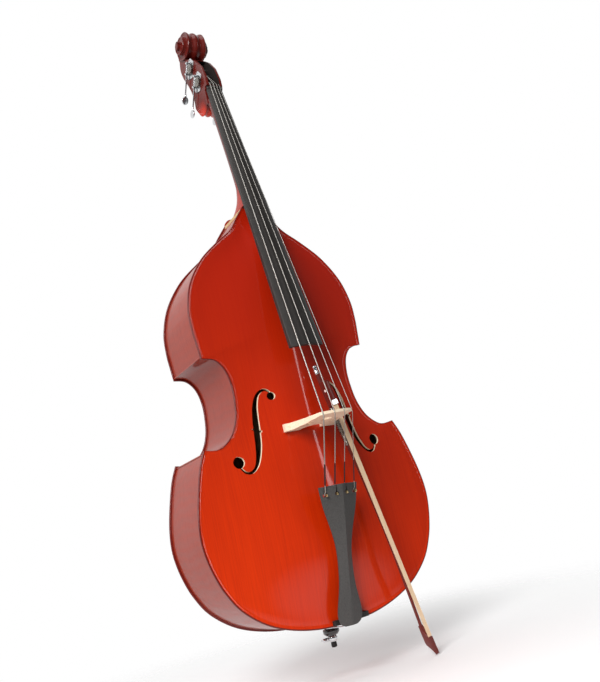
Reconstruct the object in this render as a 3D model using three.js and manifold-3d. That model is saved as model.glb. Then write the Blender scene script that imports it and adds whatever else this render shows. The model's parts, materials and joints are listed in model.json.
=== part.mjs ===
// Double bass with its bow, in millimetres.
// X points right as seen from the front, the front plate faces -Y, and +Z runs up the instrument.
// The origin is the middle of the flat underside of the endpin's rubber tip.
import * as THREE from 'three';
import { mergeVertices } from 'three/addons/utils/BufferGeometryUtils.js';
import Module from 'manifold-3d';

const wasm = await Module();
wasm.setup();

// ---- driving dimensions ----
const GAP = 0.35;                 // air between two pieces that touch
const PLATE_FOOT = 58;            // height of the body's lowest edge above the floor
const FRONT = -97;                // plane of the front plate's edge
const BACK = 96;                  // plane of the back plate's edge, below the bend
const BEND_FROM = 690;            // height on the body where the back starts to slope
const BEND_SPAN = 160;            // the slope is reached over this height
const BEND_SLOPE = 0.22;          // how fast the sloping back comes forward
const EDGE_HALF = 2.5;            // outer half of a plate's edge
const PLATE_THICK = 6.5;
const FRONT_ARCH = 29;
const BACK_ARCH = 24;
const EDGE_FLAT = 14;             // flat margin round a plate before its arching
const RIB_INSET = 5;              // overhang of the plates beyond the ribs
const RIB_THICK = 3;
const LINING_THICK = 8;
const LINING_DEEP = 20;
const NUT_Z = 1523;
const NUT_Y = 38;                 // crown of the fingerboard at the nut
const BOARD_END_Z = 667;
const BOARD_END_Y = -124;         // crown of the fingerboard at its lower end
const BRIDGE_Z = 482.5;
const BRIDGE_TOP_Y = -173;
const STRING_GAP = 28;            // string spacing at the bridge
const NUT_GAP = 10;               // string spacing at the nut
const STRING_RADII = { e: 1.5, a: 1.25, d: 1.0, g: 0.8 };
const TAIL_TOP = 318;
const TAIL_FOOT = -4;
const TAIL_LEAN = 2;              // degrees that the tailpiece hangs off the centre line
const CHEEK = 26;                 // outer half-width of the pegbox
const SCROLL = [123, 1724];       // centre of the scroll, as y and height

// The dimensions above are measured on the body: y from the front plate's edge plane and
// height from the body's lowest edge. These two put them in the part's frame.
const atY = (y) => y + FRONT;
const atZ = (z) => z + PLATE_FOOT;

// ---- materials ----
const mat = (color, roughness, metalness = 0) =>
  new THREE.MeshStandardMaterial({ color, roughness, metalness });
const VARNISH = mat(0xc63a0c, 0.18);
const RIB_VARNISH = mat(0xa8402c, 0.18);
const SPRUCE = mat(0xd8b98a, 0.7);
const MAPLE = mat(0xe6c9a4, 0.55);
const EBONY = mat(0x3a3836, 0.42);
const TAIL_BLACK = mat(0x4a4846, 0.45);
const CHROME = mat(0xd2d4d6, 0.15, 1);
const GEAR_STEEL = mat(0x8d8a84, 0.35, 1);
const STEEL = mat(0xb8b4ac, 0.3, 1);
const GLOSS_BLACK = mat(0x141314, 0.12);
const RUBBER = mat(0x1c1b1b, 0.8);
const BOW_WOOD = mat(0x5a2018, 0.3);
const HORSEHAIR = mat(0xead0b2, 0.7);
const PEARL = mat(0xe8e4dc, 0.25);

const bass = new THREE.Group();

// ---- solids ----
function soldered(geometry) {
  const bare = geometry.index ? geometry.toNonIndexed() : geometry.clone();
  for (const name of Object.keys(bare.attributes)) if (name !== 'position') bare.deleteAttribute(name);
  return mergeVertices(bare, 1e-4);
}

function solid(geometry) {
  const g = soldered(geometry);
  const vertProperties = new Float32Array(g.attributes.position.array);
  const triVerts = new Uint32Array(g.index.array);
  return new wasm.Manifold(new wasm.Mesh({ numProp: 3, vertProperties, triVerts }));
}

function geometryOf(manifold) {
  const mesh = manifold.getMesh();
  const geometry = new THREE.BufferGeometry();
  geometry.setAttribute('position', new THREE.BufferAttribute(new Float32Array(mesh.vertProperties), 3));
  geometry.setIndex(new THREE.BufferAttribute(new Uint32Array(mesh.triVerts), 1));
  return geometry;
}

function add(name, shape, material, parent = bass) {
  const geometry = shape.isBufferGeometry ? shape : geometryOf(shape);
  geometry.computeVertexNormals();
  const mesh = new THREE.Mesh(geometry, material);
  mesh.name = name;
  parent.add(mesh);
  return mesh;
}

// Rings of points skinned one to the next, with both ends closed by fans from their middles.
// A ring that has collapsed onto a line or a point needs no cap.
function loft(rings, { capped = true } = {}) {
  const count = rings[0].length;
  const position = rings.flat().flatMap((p) => [p.x, p.y, p.z]);
  const index = [];
  for (let r = 0; r + 1 < rings.length; r++) {
    for (let i = 0; i < count; i++) {
      const j = (i + 1) % count;
      const [a, b, c, d] = [r * count + i, r * count + j, (r + 1) * count + j, (r + 1) * count + i];
      index.push(a, b, c, a, c, d);
    }
  }
  if (capped) {
    for (const r of [0, rings.length - 1]) {
      const middle = rings[r].reduce((sum, p) => sum.add(p), new THREE.Vector3()).divideScalar(count);
      const m = position.length / 3;
      position.push(middle.x, middle.y, middle.z);
      for (let i = 0; i < count; i++) {
        const [a, b] = [r * count + i, r * count + ((i + 1) % count)];
        if (r === 0) index.push(m, b, a);
        else index.push(m, a, b);
      }
    }
  }
  const geometry = new THREE.BufferGeometry();
  geometry.setAttribute('position', new THREE.Float32BufferAttribute(position, 3));
  geometry.setIndex(index);
  return wholesome(geometry);
}

// Drops triangles without area and turns the surface so that its faces point out.
function wholesome(geometry) {
  const g = soldered(geometry);
  const p = g.attributes.position;
  const at = (i) => new THREE.Vector3().fromBufferAttribute(p, i);
  const kept = [];
  let volume = 0;
  for (let i = 0; i < g.index.count; i += 3) {
    const [a, b, c] = [g.index.getX(i), g.index.getX(i + 1), g.index.getX(i + 2)];
    if (a === b || b === c || c === a) continue;
    kept.push([a, b, c]);
    volume += at(a).dot(at(b).cross(at(c)));
  }
  g.setIndex(kept.flatMap(([a, b, c]) => (volume > 0 ? [a, b, c] : [a, c, b])));
  return g;
}

// A flat outline given as [across, up] pairs, extruded to either side of the plane across = X.
function sidePrism(outline, x0, x1) {
  const shape = new THREE.Shape(outline.map(([y, z]) => new THREE.Vector2(y, z)));
  const g = new THREE.ExtrudeGeometry(shape, { depth: x1 - x0, bevelEnabled: false, curveSegments: 12 });
  // shape X -> Y, shape Y -> Z, depth -> X
  g.applyMatrix4(new THREE.Matrix4().makeBasis(
    new THREE.Vector3(0, 1, 0), new THREE.Vector3(0, 0, 1), new THREE.Vector3(1, 0, 0)));
  return g.translate(x0, 0, 0);
}

// A plan outline given as [x, z] pairs, extruded from y0 back to y1.
function planPrism(outline, y0, y1) {
  const drawn = Array.isArray(outline);
  const shape = drawn ? new THREE.Shape(outline.map(([x, z]) => new THREE.Vector2(x, z))) : outline;
  const g = new THREE.ExtrudeGeometry(shape, { depth: y1 - y0, bevelEnabled: false, curveSegments: 10 });
  g.applyMatrix4(new THREE.Matrix4().makeBasis(
    new THREE.Vector3(1, 0, 0), new THREE.Vector3(0, 0, 1), new THREE.Vector3(0, -1, 0)));
  return g.translate(0, y1, 0);
}

function tube(points, radius, steps, sides = 8, tension = 0.5) {
  const path = new THREE.CatmullRomCurve3(points, false, 'centripetal', tension);
  const section = new THREE.Shape();
  section.absarc(0, 0, radius, 0, Math.PI * 2);
  const ring = new THREE.Shape(section.getSpacedPoints(sides).slice(0, sides));
  return new THREE.ExtrudeGeometry(ring, { steps, extrudePath: path, bevelEnabled: false });
}

// A turned piece about the Z axis, from [radius, height] pairs that start and end on the axis.
function turned(profile, sides = 24) {
  const g = new THREE.LatheGeometry(profile.map(([r, h]) => new THREE.Vector2(r, h)), sides);
  return wholesome(g.rotateX(Math.PI / 2));
}

function block(x0, x1, y0, y1, z0, z1) {
  return new THREE.BoxGeometry(x1 - x0, y1 - y0, z1 - z0)
    .translate((x0 + x1) / 2, (y0 + y1) / 2, (z0 + z1) / 2);
}

const cylinderX = (radius, x0, x1, y, z, sides = 20) =>
  new THREE.CylinderGeometry(radius, radius, x1 - x0, sides)
    .rotateZ(Math.PI / 2)
    .translate((x0 + x1) / 2, y, z);

// ---- body outline: the right half, from the bottom up, as [x, height] ----
const LOWER = [[0, 0], [75, 3.5], [150, 20], [215, 48], [270, 92], [302, 140], [320, 184], [331, 228],
  [334.5, 268], [330, 315], [318, 370], [302, 425], [284.5, 464]];
const WAIST = [[284.5, 464], [250, 460], [227, 469], [202, 493], [185, 530], [178, 570], [177, 615],
  [187, 656], [210, 682], [243, 688]];
const UPPER = [[243, 688], [247, 725], [251, 765], [250, 820], [231, 887], [187, 953], [131, 1003],
  [82, 1040], [54, 1078], [31, 1108]];
const curveOf = (points, count) =>
  new THREE.SplineCurve(points.map(([x, z]) => new THREE.Vector2(x, z))).getSpacedPoints(count);
const lower = curveOf(LOWER, 14);
const waist = curveOf(WAIST, 12);
const upper = curveOf(UPPER, 12);

// Spine heights that the outline's four landmarks lean towards, which keeps every ray inside.
const SPINE = { bottom: 190, lowCorner: 330, highCorner: 760, top: 960 };
const rays = [];
function addRays(points, from, to, skipFirst) {
  points.forEach((p, i) => {
    if (i === 0 && skipFirst) return;
    const spine = THREE.MathUtils.lerp(from, to, i / (points.length - 1));
    rays.push({ x: p.x, z: p.y, spine });
  });
}
addRays(lower, SPINE.bottom, SPINE.lowCorner, false);
addRays(waist, SPINE.lowCorner, SPINE.highCorner, true);
addRays(upper, SPINE.highCorner, SPINE.top, true);
const mirrored = rays.slice(1).reverse().map((r) => ({ ...r, x: -r.x }));
const wholeOutline = [...rays, ...mirrored];

const bend = (z) => {
  const into = THREE.MathUtils.clamp(z - BEND_FROM, 0, BEND_SPAN);
  return BEND_SLOPE * (into * into / (2 * BEND_SPAN) + Math.max(0, z - BEND_FROM - BEND_SPAN));
};
const archShape = (k) => Math.sin(Math.PI * k / 2) ** 2;

// One ring of a plate: k runs from 0 at the edge of the arching to 1 on the spine.
function plateRing(k, faceY, arch, inset) {
  return wholeOutline.map(({ x, z, spine }) => {
    const length = Math.hypot(x, z - spine);
    const flat = Math.min(0.5, EDGE_FLAT / length);
    const s = inset === 'rim' ? 0 : flat + (1 - flat) * k;
    const zz = z + (spine - z) * s;
    return new THREE.Vector3(x * (1 - s), faceY(zz) + arch * archShape(inset === 'rim' ? 0 : k), atZ(zz));
  });
}

function plate(faceY, outward, archHeight) {
  const steps = [0, 0.25, 0.52, 0.78, 1];
  const outer = (z) => faceY(z) + outward * EDGE_HALF;
  const inner = (z) => faceY(z) + outward * (EDGE_HALF - PLATE_THICK);
  const arch = outward * archHeight;
  return loft([
    ...[...steps].reverse().map((k) => plateRing(k, inner, arch)),
    plateRing(0, inner, arch, 'rim'),
    plateRing(0, outer, arch, 'rim'),
    ...steps.map((k) => plateRing(k, outer, arch)),
  ], { capped: false });
}

// ---- f-holes ----
const F_STEM = [[83, 581], [93, 589], [104, 588], [117, 577], [127, 553], [133, 520], [137, 487],
  [142, 455], [151, 424], [163, 402], [178, 392], [192, 395], [201, 407]];
const F_WIDTH = [5, 6, 7, 10, 14, 17, 18, 17, 13, 9, 7, 6, 5];
const F_UPPER_EYE = [82, 571, 10.5];
const F_LOWER_EYE = [203, 421, 14.5];

function fHole(side) {
  const centre = new THREE.SplineCurve(F_STEM.map(([x, z]) => new THREE.Vector2(x, z)));
  const steps = 26;
  const left = [];
  const right = [];
  for (let i = 0; i <= steps; i++) {
    const t = i / steps;
    const p = centre.getPoint(t);
    const d = centre.getTangent(t);
    const place = t * (F_WIDTH.length - 1);
    const low = Math.min(Math.floor(place), F_WIDTH.length - 2);
    const half = THREE.MathUtils.lerp(F_WIDTH[low], F_WIDTH[low + 1], place - low) / 2;
    left.push([side * (p.x - d.y * half), p.y + d.x * half]);
    right.push([side * (p.x + d.y * half), p.y - d.x * half]);
  }
  const stem = [...left, ...right.reverse()];
  if (side < 0) stem.reverse();
  const deep = [FRONT - 60, FRONT + 60];
  const lifted = (g) => g.translate(0, 0, PLATE_FOOT);
  let cut = solid(lifted(planPrism(stem, ...deep)));
  for (const [x, z, r] of [F_UPPER_EYE, F_LOWER_EYE]) {
    const eye = new THREE.CylinderGeometry(r, r, 120, 20).translate(side * x, FRONT, atZ(z));
    cut = cut.add(solid(eye));
  }
  const nick = [[side * 124, 486], [side * 150, 496], [side * 149, 493], [side * 125, 483]];
  if (side < 0) nick.reverse();
  return cut.add(solid(lifted(planPrism(nick, ...deep))));
}

const frontShell = plate(() => FRONT, -1, FRONT_ARCH);
add('top_plate', solid(frontShell).subtract(fHole(1)).subtract(fHole(-1)), VARNISH);

const backFace = (z) => BACK - bend(z);
const button = new THREE.Shape();
button.absarc(0, 1104, 29, 0, Math.PI);
button.lineTo(29, 1104);
const buttonY = backFace(1108);
const buttonSolid = solid(planPrism(button, buttonY - 2.6, buttonY + 2.4).translate(0, 0, PLATE_FOOT));
add('back_plate', solid(plate(backFace, 1, BACK_ARCH)).add(buttonSolid), RIB_VARNISH);

// ---- ribs, blocks and linings ----
// A run of plan points moved inwards by d, or outwards where d is negative.
function insetRun(points, d) {
  return points.map((p, i) => {
    const before = points[Math.max(i - 1, 0)];
    const after = points[Math.min(i + 1, points.length - 1)];
    const along = new THREE.Vector2().subVectors(after, before).normalize();
    return new THREE.Vector2(p.x - along.y * d, p.y + along.x * d);
  });
}

// Where run a first crosses run b, as the whole part of a's index and the point.
function crossing(a, b) {
  for (let i = 0; i + 1 < a.length; i++) {
    for (let j = 0; j + 1 < b.length; j++) {
      const r = new THREE.Vector2().subVectors(a[i + 1], a[i]);
      const s = new THREE.Vector2().subVectors(b[j + 1], b[j]);
      const q = new THREE.Vector2().subVectors(b[j], a[i]);
      const across = r.cross(s);
      const t = q.cross(s) / across;
      const u = q.cross(r) / across;
      if (t >= 0 && t <= 1 && u >= 0 && u <= 1) return { i, point: a[i].clone().addScaledVector(r, t) };
    }
  }
  return null;
}

// Both ends of a run are lengthened a little, so that two runs that should meet do cross.
function lengthened(run, by = 12) {
  const n = run.length - 1;
  const before = new THREE.Vector2().subVectors(run[0], run[1]).normalize();
  const after = new THREE.Vector2().subVectors(run[n], run[n - 1]).normalize();
  const first = run[0].clone().addScaledVector(before, by);
  const last = run[n].clone().addScaledVector(after, by);
  return [first, ...run, last];
}

function cutStart(run, other) {
  const hit = crossing(run, other);
  return hit ? [hit.point, ...run.slice(hit.i + 1)] : run;
}
const cutEnd = (run, other) => cutStart([...run].reverse(), other).reverse();

const fineRuns = { lower: curveOf(LOWER, 28), waist: curveOf(WAIST, 22), upper: curveOf(UPPER, 22) };
const insetOf = (name, d) => lengthened(insetRun(fineRuns[name], d));
const ribOuter = RIB_INSET;
const ribInner = RIB_INSET + RIB_THICK;
const jointed = ribInner + GAP;

const frontOfRib = () => FRONT + (PLATE_THICK - EDGE_HALF) + GAP;
const backOfRib = (z) => backFace(z) - (PLATE_THICK - EDGE_HALF) - GAP - 0.5;
const centreSeam = [new THREE.Vector2(GAP / 2, -40), new THREE.Vector2(GAP / 2, 60)];
const neckSeam = [new THREE.Vector2(31, 1050), new THREE.Vector2(31, 1130)];

// The three runs of one side and what each of them ends against, at its start and its end.
const ribEnds = {
  lower: [centreSeam, insetOf('waist', jointed)],
  waist: [insetOf('lower', ribOuter), insetOf('upper', ribOuter)],
  upper: [insetOf('waist', jointed), neckSeam],
};

// One rib: the strip between two inset runs, whose points pair up, from plate to plate.
function rib(name, side) {
  const [startAt, endAt] = ribEnds[name];
  const faces = [ribOuter, ribInner].map((d) => {
    const run = insetOf(name, d);
    const start = crossing(run, startAt);
    const back = crossing([...run].reverse(), endAt);
    return { run, start, end: { i: run.length - 2 - back.i, point: back.point } };
  });
  const first = Math.max(...faces.map((f) => f.start.i)) + 1;
  const last = Math.min(...faces.map((f) => f.end.i));
  const tooNear = (p, q) => p.distanceTo(q) < 0.8;
  const pairs = [[faces[0].start.point, faces[1].start.point]];
  for (let i = first; i <= last; i++) pairs.push([faces[0].run[i], faces[1].run[i]]);
  pairs.push([faces[0].end.point, faces[1].end.point]);
  const n = pairs.length - 1;
  const nearEnd = ([p, q], end) => tooNear(p, end[0]) || tooNear(q, end[1]);
  const clear = pairs.filter((pair, i) => i === 0 || i === n
    || !(nearEnd(pair, pairs[0]) || nearEnd(pair, pairs[n])));
  const rings = clear.map(([p, q]) => {
    const corner = (c, y) => new THREE.Vector3(side * c.x, y, atZ(c.y));
    return [corner(p, frontOfRib()), corner(p, backOfRib(p.y)),
      corner(q, backOfRib(q.y)), corner(q, frontOfRib())];
  });
  return loft(rings);
}

const ENDPIN_BORE = 16;
for (const name of ['lower', 'waist', 'upper']) {
  for (const [word, side] of [['left', -1], ['right', 1]]) {
    let strip = rib(name, side);
    if (name === 'lower') {
      const bore = new THREE.CylinderGeometry(ENDPIN_BORE, ENDPIN_BORE, 60, 24).rotateX(Math.PI / 2);
      strip = solid(strip).subtract(solid(bore.translate(0, 0, PLATE_FOOT)));
    }
    add(`rib_${name}_${word}`, strip, RIB_VARNISH);
  }
}

// The linings follow the ribs' inner face all round, one ring at each plate.
const liningRuns = [curveOf(LOWER, 20), fineRuns.waist, fineRuns.upper];
function closedRun(d) {
  const parts = liningRuns.map((run) => lengthened(insetRun(run, d)));
  const low = cutEnd(cutStart(parts[0], [new THREE.Vector2(0, -40), new THREE.Vector2(0, 90)]), parts[1]);
  const mid = cutEnd(cutStart(parts[1], parts[0]), parts[2]);
  const top = [new THREE.Vector2(200, 1100 - d), new THREE.Vector2(0, 1100 - d)];
  const high = [...cutEnd(cutStart(parts[2], parts[1]), top), new THREE.Vector2(0, 1100 - d)];
  const half = [];
  for (const p of [...low, ...mid, ...high]) {
    const last = half[half.length - 1];
    if (!last || last.distanceTo(p) > 3) half.push(p);
  }
  const mirror = half.slice(1, -1).reverse().map((p) => new THREE.Vector2(-p.x, p.y));
  return [...half, ...mirror];
}

function lining(outerD, innerD, y0, y1) {
  const shape = new THREE.Shape(closedRun(outerD));
  shape.holes.push(new THREE.Path(closedRun(innerD)));
  return solid(planPrism(shape, y0, y1).translate(0, 0, PLATE_FOOT));
}

// Everything behind this sloping surface is outside the back plate's gluing face.
function behindBack(gap) {
  const y = (z) => backOfRib(z) - gap;
  const heights = [-50, 690, 710, 730, 750, 770, 790, 810, 830, 850, 1200];
  const outline = [...heights.map((z) => [y(z), z]), [400, 1200], [400, -50]];
  return solid(sidePrism(outline, -400, 400).translate(0, 0, PLATE_FOOT));
}

const liningOuter = jointed + 0.6;
const liningInner = liningOuter + LINING_THICK;
const frontLining = lining(liningOuter, liningInner, frontOfRib(), frontOfRib() + LINING_DEEP);
add('top_lining', frontLining, SPRUCE);
const nearBack = (outerD, innerD) => {
  const whole = lining(outerD, innerD, -40, 120);
  const ahead = behindBack(0).translate(0, -LINING_DEEP, 0);
  return whole.intersect(ahead).subtract(behindBack(0));
};
add('back_lining', nearBack(liningOuter, liningInner), SPRUCE);

const liningRoom = lining(jointed - 2, liningInner + GAP, FRONT - 5, frontOfRib() + LINING_DEEP + GAP)
  .add(lining(jointed - 2, liningInner + GAP, -40, 120)
    .intersect(behindBack(0).translate(0, -LINING_DEEP - GAP, 0)));

function blockOf(outline, side = 1) {
  const points = outline.map((p) => [side * p.x, p.y]);
  if (side < 0) points.reverse();
  const whole = solid(planPrism(points, frontOfRib(), 120).translate(0, 0, PLATE_FOOT));
  return whole.subtract(behindBack(0)).subtract(liningRoom);
}

// Points of a run within reach of its start, with the last one cut at that reach.
function nearStart(run, reach) {
  const kept = [];
  let length = 0;
  for (let i = 0; i < run.length; i++) {
    if (i > 0) length += run[i].distanceTo(run[i - 1]);
    if (length > reach) break;
    kept.push(run[i]);
  }
  return kept;
}

function cornerOutline(below, above) {
  const a = cutEnd(insetOf(below, jointed), insetOf(above, jointed)).reverse();
  const b = cutStart(insetOf(above, jointed), insetOf(below, jointed));
  return [...nearStart(a, 62).reverse(), ...nearStart(b, 62).slice(1)];
}
for (const [word, side] of [['left', -1], ['right', 1]]) {
  add(`lower_corner_block_${word}`, blockOf(cornerOutline('lower', 'waist'), side), SPRUCE);
  add(`upper_corner_block_${word}`, blockOf(cornerOutline('waist', 'upper'), side), SPRUCE);
}

const bottomArc = cutStart(insetOf('lower', jointed), [new THREE.Vector2(0, -40), new THREE.Vector2(0, 90)])
  .filter((p) => p.x < 82);
const bottomLeft = [...bottomArc].reverse().map((p) => new THREE.Vector2(-p.x, p.y));
const bottomOutline = [...bottomLeft, ...bottomArc.slice(1),
  new THREE.Vector2(70, 52), new THREE.Vector2(-70, 52)];
const blockBore = new THREE.CylinderGeometry(ENDPIN_BORE, ENDPIN_BORE, 160, 24).rotateX(Math.PI / 2);
add('bottom_block', blockOf(bottomOutline).subtract(solid(blockBore.translate(0, 0, PLATE_FOOT))), SPRUCE);

const shoulder = cutEnd(insetOf('upper', jointed), neckSeam).filter((p) => p.y > 1040);
const heelFace = 1108;
const topHalf = [new THREE.Vector2(72, 1030), ...shoulder, new THREE.Vector2(30.5, heelFace)];
const topOutline = [...topHalf, ...[...topHalf].reverse().map((p) => new THREE.Vector2(-p.x, p.y))];
add('top_block', blockOf(topOutline), SPRUCE);

// ---- bass bar and sound post ----
// Depth of the front plate's inner face behind its edge plane, near the middle of the body.
function innerFront(x, height) {
  let best = Infinity;
  let depth = 0;
  for (let r = 0; r < rays.length - 1; r++) {
    for (let k = 0; k <= 1; k += 0.01) {
      const { x: rx, z: rz, spine } = rays[r];
      const flat = Math.min(0.5, EDGE_FLAT / Math.hypot(rx, rz - spine));
      const s = flat + (1 - flat) * k;
      const off = Math.hypot(rx * (1 - s) - Math.abs(x), rz + (spine - rz) * s - height);
      if (off < best) [best, depth] = [off, archShape(k)];
    }
  }
  return depth;
}
const innerFrontY = (x, z) => FRONT - EDGE_HALF + PLATE_THICK - FRONT_ARCH * innerFront(x, z);
const innerBackY = (x, z) => backFace(z) + EDGE_HALF - PLATE_THICK + BACK_ARCH * innerFront(x, z);

const BAR_X = -44;
const barRings = [];
for (let height = 200; height <= 880; height += 68) {
  const along = (height - 200) / 680;
  const depth = 12 + 26 * Math.sin(Math.PI * along);
  const top = Math.max(innerFrontY(BAR_X - 9, height), innerFrontY(BAR_X + 9, height)) + 1.6;
  barRings.push([[-9, 0], [9, 0], [6, depth], [-6, depth]].map(([dx, dy]) =>
    new THREE.Vector3(BAR_X + dx, top + dy, atZ(height))));
}
add('bass_bar', loft(barRings), SPRUCE);

const POST = { x: 42, z: 458, radius: 9 };
const postFront = innerFrontY(POST.x, POST.z) + 2.2;
const postBack = innerBackY(POST.x, POST.z) - 2.2;
const post = new THREE.CylinderGeometry(POST.radius, POST.radius, postBack - postFront, 20);
add('sound_post', wholesome(post.translate(POST.x, (postFront + postBack) / 2, atZ(POST.z))), SPRUCE);

// ---- fingerboard ----
const share = (z) => (NUT_Z - z) / (NUT_Z - BOARD_END_Z);    // 0 at the nut, 1 at the board's lower end
const crownY = (z) => THREE.MathUtils.lerp(NUT_Y, BOARD_END_Y, share(z));
const boardHalf = (z) => THREE.MathUtils.lerp(23, 46.5, share(z));
const boardSag = (z) => THREE.MathUtils.lerp(4.5, 13, share(z));
const boardDeep = (z) => THREE.MathUtils.lerp(15, 28, share(z));
const HOLLOW_FROM = 1060;         // the overhanging end of the board is hollowed below this height
const BOARD_TOP_POINTS = 12;

// The face is round from the high string's edge to a ridge near the low string, then flat.
function boardFace(z) {
  const [half, sag] = [boardHalf(z), boardSag(z)];
  const radius = (half * half + sag * sag) / (2 * sag);
  const ridge = -0.3 * half;
  const roundY = (x) => crownY(z) + radius - Math.sqrt(radius * radius - x * x);
  const points = [[-half, roundY(-half) + 2.5]];
  for (let i = 0; i < BOARD_TOP_POINTS; i++) {
    const x = THREE.MathUtils.lerp(ridge, half, i / (BOARD_TOP_POINTS - 1));
    points.push([x, roundY(x)]);
  }
  return points;
}

function boardRing(z) {
  const half = boardHalf(z);
  const under = crownY(z) + boardDeep(z);
  const hollow = 13 * THREE.MathUtils.smoothstep(HOLLOW_FROM - z, 0, 340);
  const points = boardFace(z);
  for (const k of [1, 0.84, 0.45, 0, -0.45, -0.84, -1]) {
    const lift = Math.abs(k) > 0.83 ? 0 : hollow * (1 - 0.9 * k * k);
    points.push([k * half, under - lift]);
  }
  return points.map(([x, y]) => new THREE.Vector3(x, atY(y), atZ(z)));
}
const boardHeights = [BOARD_END_Z, 740, 820, 900, 980, HOLLOW_FROM, NUT_Z];
add('fingerboard', loft(boardHeights.map(boardRing)), EBONY);

function nutRing(z, rise) {
  const face = boardFace(NUT_Z);
  const [first, last] = [face[0], face[face.length - 1]];
  const under = crownY(NUT_Z) + 12;
  return [...face.map(([x, y]) => [x, y - rise]), [last[0], under], [first[0], under]]
    .map(([x, y]) => new THREE.Vector3(x, atY(y), atZ(z)));
}
add('nut', loft([nutRing(NUT_Z + GAP, 1.2), nutRing(NUT_Z + 3, 1.9), nutRing(NUT_Z + 9, 0.4)]), EBONY);

// ---- neck, pegbox and scroll, one piece ----
const HEEL_FOOT = 1108 + GAP;
// Depth of the neck's back at some heights, from the heel's foot to the pegbox.
const NECK_BACK = [[HEEL_FOOT, 115.5], [1113, 108], [1120, 88], [1130, 66], [1142, 50], [1160, 38],
  [1190, 28], [1300, 42], [1420, 62], [1490, 76]];
const NECK_HALF = [30, 30, 29.5, 29, 28.5, 28, 29, 27, 25, 24];

function neckRing([z, backY], half) {
  const frontY = crownY(z) + boardDeep(z) + GAP;
  const points = [[-half, frontY], [half, frontY]];
  const steps = 10;
  for (let i = 0; i <= steps; i++) {
    const a = Math.PI * i / steps;
    const depth = (backY - frontY) * (0.15 + 0.85 * Math.sin(a) ** 0.9);
    points.push([half * Math.cos(a) * (i % steps ? 0.97 : 1), frontY + depth]);
  }
  return points.map(([x, y]) => new THREE.Vector3(x, atY(y), atZ(z)));
}
const shaft = loft(NECK_BACK.map((row, i) => neckRing(row, NECK_HALF[i])));

const PEGBOX_FRONT = [[56, 1470], [56, 1524], [51, 1526], [51, NUT_Z + 9.4], [38, NUT_Z + 9.4], [38, 1556],
  [50, 1602], [74, 1640], [98, 1664]];
const PEGBOX_BACK = [[172, 1700], [178, 1672], [167, 1638], [150, 1604], [138, 1570], [135, 1536],
  [136, 1506], [126, 1482], [108, 1472], [90, 1478], [78, 1486]];
const inFrame = (outline) => outline.map(([y, z]) => [atY(y), atZ(z)]);
const POCKET = [[20, NUT_Z + 10], [62, NUT_Z + 10], [104, 1536], [118, 1552], [126, 1580], [140, 1612],
  [150, 1640], [146, 1656], [112, 1656], [60, 1652], [20, 1600]];
const POCKET_HALF = 18;

let head = solid(shaft).add(solid(sidePrism(inFrame([...PEGBOX_FRONT, ...PEGBOX_BACK]), -CHEEK, CHEEK)));
// The chin below the cheeks is narrower than the pegbox.
for (const side of [-1, 1]) {
  const shoulderCut = block(0, 20, atY(82), atY(150), atZ(1460), atZ(1508)).rotateY(side * 0.32);
  head = head.subtract(solid(shoulderCut.translate(side * 19 - 10 + side * 10, 0, 0)));
}
// Each turn of the scroll stands further out and is smaller than the one before.
const TURNS = [[52, CHEEK, 0, 0], [38, 37, 3, -4], [23, 47, -3, 0], [11, 52, 0, 3]];
for (const [radius, half, dy, dz] of TURNS) {
  head = head.add(solid(cylinderX(radius, -half, half, atY(SCROLL[0] + dy), atZ(SCROLL[1] + dz), 32)));
}
head = head.subtract(solid(sidePrism(inFrame(POCKET), -POCKET_HALF, POCKET_HALF)));

// ---- tuning machines ----
// Each post crosses the pegbox. Its gear and the worm that drives it are outside the cheek.
const TUNERS = [
  { name: 'e', side: -1, y: 76, z: 1566 },
  { name: 'a', side: -1, y: 104, z: 1632 },
  { name: 'd', side: 1, y: 92, z: 1601 },
  { name: 'g', side: 1, y: 70, z: 1544 },
];
const POST_RADIUS = 5;
const GEAR_TEETH = 28;
const GEAR_TIP = 15;
const WORM_TIP = 4.2;
const WORM_OFFSET = GEAR_TIP + WORM_TIP + 0.4;
const PLATE_OUT = 2;              // thickness of the machine's plate
const GEAR_X = CHEEK + GAP + PLATE_OUT + 5;    // plane of the gear and of the worm's axis
const KEY_ANGLE = 37;             // the key's shaft slants back from straight down by this much
const key = THREE.MathUtils.degToRad(KEY_ANGLE);
const SHAFT_LENGTH = 77;

for (const { y, z } of TUNERS) {
  head = head.subtract(solid(cylinderX(POST_RADIUS + 0.5, -40, 40, atY(y), atZ(z), 14)));
}
add('neck', head, VARNISH);

function gearOutline() {
  const shape = new THREE.Shape();
  const root = GEAR_TIP - 1.8;
  for (let i = 0; i < GEAR_TEETH; i++) {
    const a = 2 * Math.PI * i / GEAR_TEETH;
    const step = 2 * Math.PI / GEAR_TEETH;
    for (const [r, k] of [[root, 0], [GEAR_TIP, 0.5]]) {
      const p = [r * Math.cos(a + k * step), r * Math.sin(a + k * step)];
      if (i === 0 && k === 0) shape.moveTo(...p);
      else shape.lineTo(...p);
    }
  }
  shape.closePath();
  return shape;
}

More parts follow.
